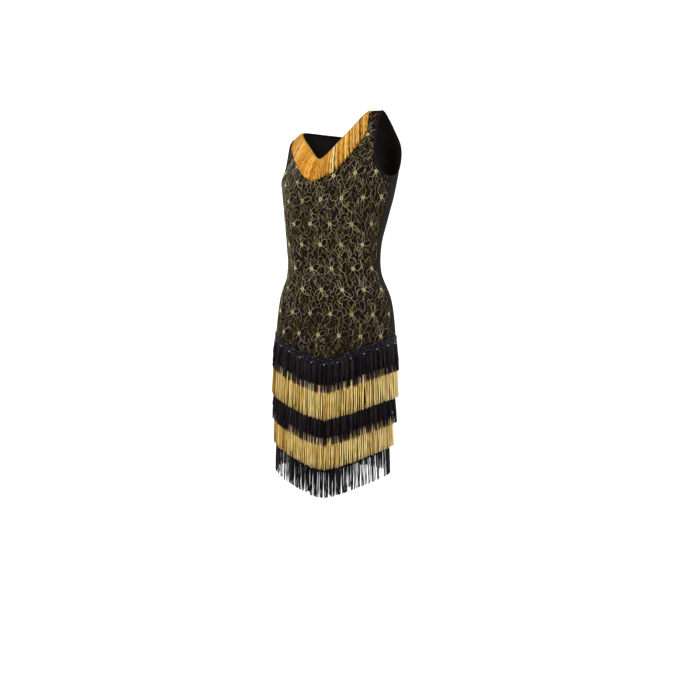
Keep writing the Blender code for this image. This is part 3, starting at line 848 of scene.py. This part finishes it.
# %% All the tiers
def tier(name, index, black, count, sparse, radius, clump, draw, late, short, shorter, even,
         long, flare):
    """Strands round one tier: p(t) = root + flare t^0.9 out - length t down, drawn towards the
    middle of the clump as t^late and swayed by a slow sine. Some of every second clump are cut
    shorter, which opens straight gaps at the ends of the others."""
    chance = np.random.default_rng(TIER_SEED + index)
    heading = BLACK_HEADING if black else GOLD_HEADING
    lower = TIER_TOP - index * TIER_PITCH - heading
    fine, length = edge_ring(lower)
    total = length[-1]
    along = (np.arange(count) + chance.uniform(-0.45, 0.45, count)) * total / count % total
    # fewer strands towards the sides and the back, drawn closer into their clumps
    gone = sparse * ease(*SPARSE_ZONE, np.abs(np.interp(along, length, fine)))
    stays = chance.random(count) >= gone
    along, count, gather = along[stays], int(stays.sum()), (draw * (1 - sparse + gone))[stays]
    centre, number = clumps(along, total, clump, chance)
    deep = np.zeros(count)
    if not black:                             # two gold strands in five lie deep
        deep = (np.arange(count) % 5 < 2).astype(float)
    angle = np.interp(along, length, fine)
    row = row_at(lower + VEE_RISE * vee(angle))
    out = unit(outward(angle, row) * [1, 1, 0])
    side = unit(np.cross([0, 0, 1.0], out))
    seat = HEADING_SEAT + STRAND_SEAT + chance.uniform(0, STRAND_PILE, count)
    if not black:
        seat = seat + GOLD_LAYER * (1 - deep)
    root = shape(angle, row) + out * seat[:, None]
    # the points of a gold strand crowd at its root, where the tone changes
    t = np.linspace(0, 1, STRAND_POINTS)[None, :] ** (1.0 if black else 1.35)
    cut_short = (hashed(number, 1.7) < short) & (number % 2 == 0)
    reach = long - heading + chance.normal(0, even, count)
    reach = reach - cut_short * (shorter[0] + (shorter[1] - shorter[0]) * hashed(number, 4.1))
    spread = flare * chance.uniform(0.60, 1.05, count) * (1 - 0.35 * deep)
    phase, waves = chance.uniform(0, 6.28, count), chance.uniform(0.6, 1.9, count)
    sway = np.sin(phase[:, None] + 6.28 * waves[:, None] * t) * t * (0.0005 if black else 0.0009)
    clump_sway = np.sin(number * 2.399)[:, None] * CLUMP_SWAY * t ** 1.5
    across = (gather * (centre - along))[:, None] * t ** late + sway + clump_sway
    if name == "gold_1":
        across = across + parting(along - np.interp(PARTING, fine, length), t)
    ahead = spread[:, None] * t ** 0.9 + np.cos(phase[:, None] + 5 * t) * 0.0005 * t
    start = -BLACK_SEWN if black else -GOLD_SEWN
    drop = start + (reach[:, None] - start) * t
    paths = (root[:, None] + side[:, None] * across[..., None] + out[:, None] * ahead[..., None]
             - np.array([0, 0, 1.0]) * drop[..., None])
    rooted = 1.0 if black else 0.45 + 0.55 * ease(0.0, 0.2, t)      # thin where it is sewn
    thick = radius * chance.uniform(0.85, 1.15, count)[:, None] * (1 - 0.2 * t ** 4) * rooted
    points, faces = tubes(paths, thick, out[:, None] + np.zeros_like(paths), 3, 1.0,
                          chance.uniform(0, 2.1, count))
    of_clump = 0.60 if black else 0.40        # share of a strand's tone that its clump sets
    tone = of_clump * hashed(number, 0.0) + (1 - of_clump) * chance.random(count)
    tone = np.broadcast_to(tone[:, None], thick.shape)
    if not black:
        group = clumps(along, total, ROOT_GROUP, chance)[1]
        tone = gold_tone(tone, angle, deep, number, group, t)
    print(f"{name}: {count} strands")
    return add_mesh(f"strands_{name}", points, faces, tone=np.repeat(tone.ravel(), 3))


tiers = {name: tier(name, index, **TIERS[name]) for index, name in enumerate(TIERS)}

# %% [markdown]
# ## Headings
# The strands hang from a woven heading that is sewn to the skirt. On the black trims it carries
# rows of small black beads, and a clear crystal every few centimetres. The band is a ring with a
# rounded section, and each bead is a small faceted dome of twenty faces.

# %% Heading bands
HEADING_RING = 360
RING_RADIUS = 0.14            # roughly; it turns an angle into a length of the band


def heading(name, index, black):
    """A closed band: the outline of its section is carried round the form at one height."""
    tall = BLACK_HEADING if black else GOLD_HEADING
    upper = TIER_TOP - index * TIER_PITCH
    angle = np.linspace(-math.pi, math.pi, HEADING_RING + 1)[:-1]
    # heights below the upper edge, and distances out from the band's seat
    section = np.array([(0.0, 0.0), (-0.0006, 0.0009), (-0.0022, 0.0012), (-tall / 2, 0.0013),
                        (-tall + 0.0022, 0.0012), (-tall + 0.0006, 0.0009), (-tall, 0.0),
                        (-tall + 0.001, -0.0004), (-tall / 2, -0.0005), (-0.001, -0.0004)])
    rise = VEE_RISE * vee(angle)
    rows = row_at(upper + rise[:, None] + section[None, :, 0])
    angles = np.broadcast_to(angle[:, None], rows.shape)
    points = shape(angles, rows) + outward(angles, rows) * (
        HEADING_SEAT + section[None, :, 1])[..., None]
    sides = len(section)
    i, k = np.meshgrid(np.arange(HEADING_RING), np.arange(sides), indexing="ij")
    j, m = (i + 1) % HEADING_RING, (k + 1) % sides
    quads = np.stack([i * sides + k, i * sides + m, j * sides + m, j * sides + k],
                     -1).reshape(-1, 4)
    around = np.broadcast_to(angle[:, None] * RING_RADIUS, rows.shape)
    uv = np.stack([around, np.broadcast_to(section[:, 0], rows.shape)], -1)
    return add_mesh(f"heading_{name}", points, [quads], uv=uv)


headings = {name: heading(name, index, TIERS[name]["black"]) for index, name in enumerate(TIERS)}


# %% Beads and crystals on a heading
def domes(name, angle, height, seat, radius, rings=((1.0, 0.0), (0.72, 0.62), (0.0, 0.95)),
          sides=8, smooth=True):
    """Many small domes that stand on the form. Each ring of a dome is a circle
    p + r (cos q side + sin q up) + h out."""
    row = row_at(height)
    centre = shape(angle, row)
    out = outward(angle, row)
    along = unit(np.cross([0, 0, 1.0], out))
    up = np.cross(out, along)
    q = np.arange(sides) * 2 * math.pi / sides
    radius = np.broadcast_to(radius, (len(angle),))
    layers = [(1.0, -0.35)] + list(rings)     # the foot sinks into the band
    points = []
    for wide, high in layers:
        circle = np.cos(q)[None, :, None] * along[:, None] + np.sin(q)[None, :, None] * up[:, None]
        points.append(centre[:, None] + circle * (max(wide, 0.02) * radius)[:, None, None]
                      + out[:, None] * (seat + high * radius)[:, None, None])
    points = np.stack(points, 1)
    count, deep = len(angle), len(layers)
    base = (np.arange(count) * deep * sides)[:, None, None]
    i = np.arange(deep - 1)[None, :, None] * sides
    k = np.arange(sides)[None, None, :]
    m = (k + 1) % sides
    quads = np.stack([base + i + k, base + i + m, base + i + sides + m, base + i + sides + k],
                     -1).reshape(-1, 4)
    floor = (base[:, :, 0] + np.arange(sides)[::-1])
    top = (base[:, :, 0] + (deep - 1) * sides + np.arange(sides))
    # a random tone for each dome; on the beads the highest tones pick a painted glint
    tone = np.repeat(rng.random(count), deep * sides)
    return add_mesh(name, points, [quads, floor, top], tone=tone, smooth=smooth)


BEAD_PITCH = 0.0040
BEAD_RADIUS = 0.0011
BEAD_ROWS = 5
BEADS_UNDER_TOP = 0.0012      # from the heading's upper edge to the first row
BEADS_OVER_FOOT = 0.0040      # from its lower edge to the last row
BEAD_STRAY = 0.00025          # how far a bead is out of its row
CRYSTAL_PITCH = 0.0350
CRYSTAL_START = 0.035         # angle of the crystal nearest the centre front
CRYSTAL_RADIUS = 0.0012
CRYSTAL_DOWN = 0.0175         # below the heading's upper edge
CRYSTAL_LIFT = 0.0005         # a crystal stands this much higher than the beads
beads, crystals = [], []
for index, name in enumerate(TIERS):
    if not TIERS[name]["black"]:
        continue
    upper = TIER_TOP - index * TIER_PITCH
    fine, length = edge_ring(upper)
    per_row = int(length[-1] / BEAD_PITCH)
    # the rows stand half a pitch over from each other
    angles = np.interp(np.linspace(0, length[-1], per_row * 2 + 1)[:-1], length, fine)
    where = np.concatenate([angles[k % 2::2] for k in range(BEAD_ROWS)])
    level = np.linspace(BEADS_UNDER_TOP, BLACK_HEADING - BEADS_OVER_FOOT, BEAD_ROWS)
    down = np.repeat(level, per_row) + rng.normal(0, BEAD_STRAY, per_row * BEAD_ROWS)
    radius = BEAD_RADIUS * rng.uniform(0.85, 1.1, len(where))
    beads.append(domes(f"beads_{name}", where, upper + VEE_RISE * vee(where) - down,
                       HEADING_SEAT + HEADING_THICK, radius, sides=6))
    stones = int(length[-1] / CRYSTAL_PITCH)
    first = np.interp(CRYSTAL_START, fine, length)
    spots = np.interp((first + np.arange(stones) * length[-1] / stones) % length[-1], length, fine)
    crystals.append(domes(f"crystals_{name}", spots, upper + VEE_RISE * vee(spots)
                          - CRYSTAL_DOWN, HEADING_SEAT + HEADING_THICK + CRYSTAL_LIFT,
                          CRYSTAL_RADIUS, rings=((1.0, 0.1), (0.62, 0.62), (0.02, 0.66)),
                          smooth=False))

# %% [markdown]
# ## The collar
# The gold collar is the same kind of fringe, sewn along the V neckline from shoulder to
# shoulder. Its strands lie on the chest, so they don't hang plumb: each leaves the neckline
# squarely and then runs down the steepest way on the cloth. The path is walked step by step, all
# strands at once.

# %% Where the collar runs
COLLAR_ENDS = (0.012, 0.988)  # shares of the neckline's length between which it is sewn on
COLLAR_SPLAY = 1.15           # how much the right half leaves the neckline before it falls
SPLAY_FADE = 1.4              # how fast that fades along the neckline, for its whole length
SPLAY_DROP = 2.8              # how fast it fades down a strand, for its whole length
# shares of the neckline's length from the right shoulder, the strands' length there and their
# lean to the wearer's left
COLLAR_TABLE = np.array([(0.0, 0.054, 0.15), (0.20, 0.057, 0.08), (0.35, 0.060, -0.06),
                         (0.50, 0.058, -0.04), (0.62, 0.072, 0.18), (0.75, 0.077, 0.22),
                         (0.90, 0.070, 0.20), (1.0, 0.056, 0.12)])


def collar_hang(share):
    """How the strands hang at shares of the neckline's length: their lean to the left, their
    splay away from the neck, and their length."""
    splay = COLLAR_SPLAY * np.clip(1 - SPLAY_FADE * share, 0, 1)
    length, lean = (np.interp(share, COLLAR_TABLE[:, 0], COLLAR_TABLE[:, k]) for k in (1, 2))
    return lean, splay, length


def collar_edge(share):
    """Angle and row at shares of the front neckline's length, from right shoulder to left."""
    start = row_at(FRONT_NECK_LOW)
    row = start + (TOP_ROW - RIDGE_GAP - start) * np.linspace(0, 1, 260) ** 2
    angle = inner_edge(row, FRONT_NECK_LOW)
    angle = np.concatenate([-angle[:0:-1], angle])
    row = np.concatenate([row[:0:-1], row])
    edge = shape(angle, row)
    length = np.concatenate([[0], np.cumsum(np.linalg.norm(np.diff(edge, axis=0), axis=1))])
    where = np.interp(share * length[-1], length, np.arange(len(edge)))
    index = np.arange(len(edge))
    return np.interp(where, index, angle), np.interp(where, index, row), length[-1]


def collar_away(angle, row):
    """Unit vectors in the cloth, square to the neckline and away from the neck."""
    ahead = unit(np.gradient(shape(angle, row), axis=0))
    return -unit(np.cross(outward(angle, row), ahead))


# %% The collar's heading
share = np.linspace(*COLLAR_ENDS, 240)
angle, row, collar_long = collar_edge(share)
away = collar_away(angle, row)
print("front neckline:", round(float(collar_long), 3), "m")
# steps away from the neckline, and heights above the cloth
levels = np.array([(-0.0020, 0.0012), (-0.0015, 0.0019), (0.0035, 0.0019), (0.0078, 0.0013),
                   (0.0082, 0.0002)])
band = []
for step, high in levels:
    spot = walk(angle, row, away * step)
    band.append(shape(*spot) + outward(*spot) * (WALL + high))
band = np.stack(band, 1)
sides = len(levels)
quads = grid_faces(len(share), sides)
closing = np.stack([np.arange(len(share) - 1) * sides + sides - 1,
                    np.arange(len(share) - 1) * sides,
                    np.arange(1, len(share)) * sides,
                    np.arange(1, len(share)) * sides + sides - 1], 1)
ends = [np.arange(sides)[None, ::-1], (np.arange(sides) + (len(share) - 1) * sides)[None, :]]
band_uv = np.stack([np.broadcast_to((share * collar_long)[:, None], band.shape[:2]),
                    np.broadcast_to(levels[:, 0], band.shape[:2])], -1)
collar_band = add_mesh("collar_band", band, [quads, closing, *ends], uv=band_uv)

# %% Strands of the collar
COLLAR_STRANDS = 620
COLLAR_SEED = 3
COLLAR_STEPS = 13
COLLAR_CLUMP = 0.0040         # mean width of a clump
COLLAR_RADIUS = 0.00082       # of a strand on the left half
COLLAR_SEAT = 0.0022          # from the cloth to the roots
COLLAR_PILE = 0.0034          # depth of the pile of strands at their ends

chance = np.random.default_rng(COLLAR_SEED)
# half even and half at random
share = np.sort(chance.uniform(*COLLAR_ENDS, COLLAR_STRANDS))
share = 0.5 * share + 0.5 * np.linspace(*COLLAR_ENDS, COLLAR_STRANDS)
angle, row, _ = collar_edge(share)
leave = collar_away(angle, row)
centre, number = clumps(share * collar_long, collar_long, COLLAR_CLUMP, chance)
pull = centre - share * collar_long
ahead = unit(np.gradient(shape(angle, row), axis=0))
spot = walk(angle, row, leave * 0.0004)
lean, splay, long = collar_hang(share)
left = ease(0.45, 0.6, share)                 # 0 on the right half and 1 on the left
long = long * (1 + (0.025 + 0.03 * left) * chance.normal(0, 1, COLLAR_STRANDS))
hang = np.stack([lean, 0 * lean, -1 + 0 * lean], 1)
layer = chance.uniform(0, 1, COLLAR_STRANDS)  # 0 lies on the cloth and 1 on top
path, normals = [], []
for step in range(COLLAR_STEPS + 1):
    t = step / COLLAR_STEPS
    square = outward(*spot)
    lift = WALL + COLLAR_SEAT + (0.0006 + COLLAR_PILE * layer) * math.sqrt(max(t, 0.02))
    # towards the clump's middle, with a slow swing of each clump and a ripple of each strand
    drift = 0.35 * pull * t ** 1.5 + 0.0008 * np.sin(number * 2.4 + 3 * t) * t
    ripple = 0.0010 + 0.0008 * (share < 0.5)
    drift = drift + ripple * np.sin(number * 5.1 + 31 * layer + 16 * t) * min(1, 3 * t)
    path.append(shape(*spot) + square * lift[:, None] + ahead * drift[:, None])
    normals.append(square)
    down = unit(hang - square * (hang * square).sum(1)[:, None])
    way = unit(down + leave * (splay * max(0.0, 1 - SPLAY_DROP * t))[:, None])
    way = unit(way - square * (way * square).sum(1)[:, None])      # kept in the cloth
    spot = walk(*spot, way * (long / COLLAR_STEPS)[:, None])
path, normals = np.stack(path, 1), np.stack(normals, 1)
thick = COLLAR_RADIUS * chance.uniform(0.8, 1.2, COLLAR_STRANDS) * (1.25 - 0.25 * left)
thick = thick[:, None] * np.ones((1, COLLAR_STEPS + 1))
points, faces = tubes(path, thick, normals, 3, 1.0, chance.uniform(0, 2.1, COLLAR_STRANDS))

# %% [markdown]
# The right half of the collar is an even orange gold. The left half hangs more openly, so there
# groups of strands catch the light and others show the brown shade between them.

# %% Tones of the collar
LOWER_LAYERS = 0.42           # the strands up to this layer lie in shade
COLLAR_GROUP = 0.0026         # width of the groups that are pale or brown together

shade = (0.4 * hashed(number, 0.0) + 0.75 * chance.random(COLLAR_STRANDS)) * (0.80 + 0.20 * left)
shade = shade - 0.01 - 0.12 * left - (0.34 + 0.31 * left) * (layer < LOWER_LAYERS)
group = clumps(share * collar_long, collar_long, COLLAR_GROUP, chance)[1]
pale = (layer > LOWER_LAYERS) & (hashed(group, 4.4) > 0.42)
brown = (layer < 0.90) & (hashed(group, 2.2) < 0.32)
shade = shade + left * (0.36 * pale - 0.55 * brown)
collar = add_mesh("collar_strands", points, faces,
                  tone=np.repeat(shade, (COLLAR_STEPS + 1) * 3))

# %% [markdown]
# ## Materials
# Every finish is built from nodes. A helper keeps the code short: it makes a Principled shader,
# and small functions add a noise, a ramp of colours or a bump to it.


# %% Material helpers
class Finish:
    """A Principled material with a few node helpers."""

    def __init__(self, name, **sockets):
        self.material = bpy.data.materials.new(name)
        self.material.use_nodes = True
        self.nodes = self.material.node_tree.nodes
        self.links = self.material.node_tree.links
        self.shader = self.nodes["Principled BSDF"]
        for socket, value in sockets.items():
            self.shader.inputs[socket.replace("_", " ")].default_value = value

    def node(self, kind, **inputs):
        """A node with its inputs set, or linked where the value is a socket."""
        made = self.nodes.new(kind)
        for name, value in inputs.items():
            socket = made.inputs[name.replace("_", " ")]
            if isinstance(value, bpy.types.NodeSocket):
                self.links.new(value, socket)
            else:
                socket.default_value = value
        return made

    def place(self, kind):
        """The Object or UV socket of the texture coordinates."""
        return self.node("ShaderNodeTexCoord").outputs[kind]

    def noise(self, vector, scale, detail=2.0):
        """A noise texture's factor."""
        made = self.node("ShaderNodeTexNoise", Vector=vector, Scale=scale, Detail=detail)
        return made.outputs["Fac"]

    def maths(self, operation, first, second=0.5):
        """One operation on two numbers or sockets."""
        made = self.nodes.new("ShaderNodeMath")
        made.operation = operation
        for socket, value in zip(made.inputs, (first, second)):
            if isinstance(value, bpy.types.NodeSocket):
                self.links.new(value, socket)
            else:
                socket.default_value = value
        return made.outputs[0]

    def ramp(self, factor, *stops):
        """Colours at places along a ramp; each stop is (place, (red, green, blue))."""
        made = self.nodes.new("ShaderNodeValToRGB")
        self.links.new(factor, made.inputs[0])
        band = made.color_ramp
        while len(band.elements) < len(stops):
            band.elements.new(0.5)
        for element, (spot, colour) in zip(band.elements, stops):
            element.position = spot
            element.color = (*colour, 1)
        return made.outputs[0]

    def to(self, socket, output):
        """Link an output to one of the shader's sockets."""
        self.links.new(output, self.shader.inputs[socket])

    def bump(self, height, strength, distance):
        """A bump of the shader's normal."""
        made = self.node("ShaderNodeBump", Height=height, Strength=strength, Distance=distance)
        self.to("Normal", made.outputs["Normal"])


# %% [markdown]
# The knit is fine black jersey. Its wales are rows of small V-shaped loops about a millimetre
# wide, which one wave across the cloth and one wave up it give together. A little sheen stands
# for the fibre ends.


# %% Knit
WALE = 0.0011                 # width of a column of loops
COURSE = 0.0009               # height of a row of loops


def knit(name, dark, light, patch):
    """Jersey on the cloth's own lengths: waves across and up, and an uneven tone whose patches
    are about one over patch metres wide."""
    made = Finish(name, Roughness=0.8, Specular_IOR_Level=0.03)
    uv = made.place("UV")
    parts = made.node("ShaderNodeSeparateXYZ", Vector=uv)
    across = made.maths('MULTIPLY', parts.outputs["X"], 2 * math.pi / WALE)
    along = made.maths('MULTIPLY', parts.outputs["Y"], 2 * math.pi / COURSE)
    zigzag = made.maths('ADD', along, made.maths('MULTIPLY', made.maths('COSINE', across), 1.6))
    loops = made.maths('ADD', made.maths('COSINE', across), made.maths('SINE', zigzag))
    tone = made.noise(made.place("Object"), patch, 3.0)
    made.to("Base Color", made.ramp(tone, (0.38, dark), (0.62, light)))
    made.bump(loops, 0.35, 0.00022)
    return made.material


KNIT_FRONT = knit("black_knit_front", (0.0066, 0.0032, 0.0004), (0.0064, 0.0031, 0.0042), 45.0)
KNIT_BACK = knit("black_knit_back", (0.0120, 0.0088, 0.0078), (0.0175, 0.0132, 0.0115), 9.0)

# %% [markdown]
# The lace is a metallic gold thread. Its tone changes from line to line, from pale and greyish
# to a deeper olive gold, and the eyes of the flowers are brighter.


# %% Gold thread
def thread(name, stops, metallic, roughness, twist, gloss=0.5):
    """Metallic thread: the piece's own tone picks the colour and a fine noise breaks it up."""
    made = Finish(name, Metallic=metallic, Roughness=roughness, Specular_IOR_Level=gloss)
    tone = made.node("ShaderNodeAttribute")
    tone.attribute_name = "tone"
    place = made.place("Object")
    mixed = made.maths('ADD', made.maths('MULTIPLY', tone.outputs["Fac"], 0.7),
                       made.maths('MULTIPLY', made.noise(place, 60.0), 0.3))
    made.to("Base Color", made.ramp(mixed, *stops))
    made.bump(made.noise(place, twist, 1.0), 0.4, 0.0003)
    return made.material


LACE = thread("gold_lace", ((0.18, (0.052, 0.040, 0.014)), (0.42, (0.185, 0.150, 0.030)),
                            (0.68, (0.365, 0.300, 0.235)), (1.00, (0.620, 0.530, 0.260))),
              0.4, 0.45, 1800)
EYES = thread("gold_lace_eye", ((0.2, (0.62, 0.52, 0.17)), (0.8, (0.90, 0.82, 0.42))),
              0.2, 0.4, 1500)

# %% [markdown]
# The fringe is shiny rayon. The gold strands run from a pale straw to an orange gold, with a
# painted brown shade where they lie deep in the trim, and the black ones are almost without
# colour, with a painted sheen on the lightest. A highlight runs along each strand, so they are
# smooth and not very rough.

# %% Fringe
# gold of the strands; the darkest stop also gives the painted shade of deep strands and dark
# roots, and the palest stop the painted light of pale roots
GOLD_TIER_COLOURS_LIGHT_AND_SHADE = ((0.12, (0.060, 0.034, 0.016)), (0.32, (0.470, 0.235, 0.022)),
                     (0.55, (0.660, 0.435, 0.095)), (0.80, (0.860, 0.720, 0.290)),
                     (1.00, (0.800, 0.560, 0.400)))
GOLD_COLLAR_COLOURS = ((0.12, (0.100, 0.050, 0.004)), (0.34, (0.480, 0.190, 0.004)),
                       (0.62, (0.700, 0.330, 0.014)), (0.90, (0.840, 0.680, 0.290)))
# black strands whose tone differs at random; the lightest stop gives some of them a painted sheen
BLACK_COLOURS_AND_SHEEN = ((0.22, (0.0004, 0.0003, 0.0009)), (0.48, (0.0034, 0.0027, 0.0038)),
                 (0.72, (0.0260, 0.0210, 0.0240)))
GOLD_TIER = thread("gold_fringe", GOLD_TIER_COLOURS_LIGHT_AND_SHADE, 0.05, 0.42, 900, 0.4)
GOLD_COLLAR = thread("gold_collar", GOLD_COLLAR_COLOURS, 0.05, 0.42, 900, 0.3)
BLACK_TIER = thread("black_fringe", BLACK_COLOURS_AND_SHEEN, 0.0, 0.45, 900, 0.05)


# %% Woven bands, tape, beads and crystals
def woven(name, dark, light, pitch, roughness=0.6):
    """A woven band: slanting ribs from one sine along both of its lengths."""
    made = Finish(name, Roughness=roughness, Specular_IOR_Level=0.04)
    parts = made.node("ShaderNodeSeparateXYZ", Vector=made.place("UV"))
    slant = made.maths('ADD', parts.outputs["X"], made.maths('MULTIPLY', parts.outputs["Y"], 0.8))
    ribs = made.maths('SINE', made.maths('MULTIPLY', slant, 2 * math.pi / pitch))
    tone = made.maths('ADD', made.maths('MULTIPLY', ribs, 0.25),
                      made.noise(made.place("Object"), 40.0))
    made.to("Base Color", made.ramp(tone, (0.2, dark), (0.8, light)))
    made.bump(ribs, 0.4, 0.0003)
    return made.material


TAPE = woven("black_tape", (0.0040, 0.0036, 0.0036), (0.0090, 0.0082, 0.0082), 0.0011)
BAND_BLACK = woven("black_band", (0.0018, 0.0015, 0.0026), (0.0040, 0.0033, 0.0054), 0.0016)
# the gold tiers' headings lie under the black tiers, so their gold band is painted dark brown: a
# painted shade
BAND_GOLD_IN_PAINTED_SHADE = woven("gold_band_painted_shade", (0.0120, 0.0070, 0.0050), (0.0300, 0.0180, 0.0120), 0.0016)
BAND_GOLD = woven("gold_band", (0.260, 0.140, 0.020), (0.560, 0.340, 0.070), 0.0016)
stitching = Finish("black_stitching", Roughness=0.5)
stitching.to("Base Color", stitching.ramp(stitching.noise(stitching.place("Object"), 400.0),
                                          (0.3, (0.010, 0.010, 0.010)),
                                          (0.7, (0.030, 0.028, 0.028))))
# black beads; the last, light stop paints a glint on the beads with the highest tones
BEAD_COLOURS_AND_GLINTS = ((0.20, (0.0020, 0.0018, 0.0030)), (0.66, (0.0060, 0.0052, 0.0090)),
                (0.76, (0.1100, 0.1080, 0.1250)))
BEADS = thread("black_bead", BEAD_COLOURS_AND_GLINTS, 0.0, 0.3, 200, 0.2)
crystal = Finish("clear_crystal", Roughness=0.08, Metallic=0.35, Coat_Weight=1.0)
crystal.to("Base Color", crystal.ramp(crystal.noise(crystal.place("Object"), 300.0),
                                      (0.3, (0.60, 0.62, 0.66)), (0.7, (0.95, 0.95, 1.0))))

# %% [markdown]
# ## Dressing the frame
# Each piece now takes its material, rides on the body, and stands for the solid that it shows.

# %% Pieces, their materials and the solids they stand for
dress(front_cloth, KNIT_FRONT, "lace_knit", "front_panel")
dress(back_cloth, KNIT_BACK, "plain_knit", "back_panel")
dress(lace_petals, LACE, "lace_knit")
dress(lace_ground, LACE, "lace_knit")
dress(lace_eyes, EYES, "lace_knit")
for (tape, stitches), node in tapes:
    dress(tape, TAPE, "binding_black", node)
    dress(stitches, stitching.material, "binding_black")
for name, cut in TIERS.items():
    shade = "black" if cut["black"] else "gold"
    finish = BLACK_TIER if cut["black"] else GOLD_TIER
    dress(tiers[name], finish, f"fringe_{shade}", f"fringe_{name}")
    # a gold tier's heading takes the gold band in painted shade
    dress(headings[name], BAND_BLACK if cut["black"] else BAND_GOLD_IN_PAINTED_SHADE, f"fringe_{shade}")
for piece in beads:
    dress(piece, BEADS, "fringe_black")
for piece in crystals:
    dress(piece, crystal.material, "fringe_black")
dress(collar, GOLD_COLLAR, "fringe_gold", "neck_fringe")
dress(collar_band, BAND_GOLD, "fringe_gold")

# %% The trims in one list
trims = [*tiers.values(), *headings.values(), *beads, *crystals, collar, collar_band]
trims += [part for (tape, stitches), _ in tapes for part in (tape, stitches)]

# %% [markdown]
# ## Studio
# The dress hangs in front of a plain pale sweep, lit by large soft lights from the front, so that
# the shadows are weak and the fringe still glitters.

# %% Floor, lights and camera
FLOOR = -1.56                 # where the wearer's shoes would stand
CAMERA_AZIMUTH = math.radians(20)
CAMERA_FAR = 4.2
CAMERA_HEIGHT = -0.237
PIXEL = 0.00264               # size of a pixel at the dress, in metres
FRAME = 700                   # pixels across the render
HORIZON = 215                 # eye level, in pixels from the frame's top
ORIGIN_ACROSS = 337.5         # where the origin stands, in pixels from the frame's left
BEND = 1.5                    # the sweep curves up behind the dress with this radius

curve = np.linspace(0.1, 1.5, 12)
sweep_y = np.concatenate([[-6.0, 0.0, BEND], BEND + BEND * np.sin(curve), [2 * BEND]])
sweep_z = np.concatenate([[0, 0, 0], BEND - BEND * np.cos(curve), [6.0]])
sweep_x = np.linspace(-7, 7, 3)
sheet_points = np.stack([np.broadcast_to(sweep_x, (len(sweep_y), 3)),
                         np.broadcast_to(sweep_y[:, None], (len(sweep_y), 3)),
                         np.broadcast_to(sweep_z[:, None] + FLOOR, (len(sweep_y), 3))], -1)
sweep = add_mesh("studio_sweep", sheet_points, [grid_faces(len(sweep_y), 3)])
paper = Finish("white_paper", Roughness=0.9)
paper.to("Base Color", paper.ramp(paper.noise(paper.place("Object"), 3.0),
                                  (0.3, (0.90, 0.90, 0.90)), (0.7, (0.93, 0.93, 0.93))))
sweep.data.materials.append(paper.material)


def standing(right, up, back, where):
    """A matrix whose columns are three axes and a place."""
    columns = np.column_stack([np.stack([right, up, back], 1), where])
    return Matrix([[*row] for row in columns] + [[0, 0, 0, 1]])


def soft_light(name, where, size, power, colour=(1, 1, 1), aim=(0, 0, -0.45)):
    """A square area light that faces the middle of the dress, or another aim."""
    lamp = bpy.data.lights.new(name, 'AREA')
    lamp.size = size
    lamp.energy = power
    lamp.color = colour
    made = bpy.data.objects.new(name, lamp)
    bpy.context.scene.collection.objects.link(made)
    back = unit(np.array(where) - np.array(aim))
    right = unit(np.cross([0, 0, 1.0], back))
    made.matrix_world = standing(right, np.cross(back, right), back, where)


soft_light("key", (-0.6, -3.2, 1.5), 1.3, 110, (1.0, 0.98, 0.96))
soft_light("fill", (3.0, -2.6, 0.4), 2.0, 55)
soft_light("back_left", (-2.6, 1.6, 1.2), 1.4, 40)
soft_light("back_right", (2.4, 1.8, 1.2), 1.4, 40)
soft_light("wall", (-3.4, 0.6, 1.6), 2.0, 60, aim=(-3.0, 3.0, 0.6))
world = bpy.data.worlds.new("studio")
world.use_nodes = True
world.node_tree.nodes["Background"].inputs["Color"].default_value = (1, 1, 1, 1)
world.node_tree.nodes["Background"].inputs["Strength"].default_value = 0.55
bpy.context.scene.world = world
bpy.context.scene.view_settings.view_transform = 'Standard'

# %% Camera
SENSOR = 36                   # width of the camera's sensor, in millimetres
focal = CAMERA_FAR / PIXEL
tilt = math.atan((FRAME / 2 - HORIZON) / focal)
pan = math.atan((ORIGIN_ACROSS - FRAME / 2) / focal)
level = np.array([-math.sin(CAMERA_AZIMUTH), math.cos(CAMERA_AZIMUTH), 0])
right = np.array([math.cos(CAMERA_AZIMUTH), math.sin(CAMERA_AZIMUTH), 0])
ahead = level * math.cos(pan) - right * math.sin(pan)
right = right * math.cos(pan) + level * math.sin(pan)
look = ahead * math.cos(tilt) - np.array([0, 0, 1.0]) * math.sin(tilt)
up = np.array([0, 0, 1.0]) * math.cos(tilt) + ahead * math.sin(tilt)
spot = -level * CAMERA_FAR + np.array([0, 0, CAMERA_HEIGHT])
camera_data = bpy.data.cameras.new("camera")
camera_data.sensor_width = SENSOR
camera_data.lens = focal / FRAME * SENSOR
camera = bpy.data.objects.new("camera", camera_data)
bpy.context.scene.collection.objects.link(camera)
camera.matrix_world = standing(right, up, -look, spot)
bpy.context.scene.camera = camera
print("camera lens:", round(camera_data.lens, 1), "mm")
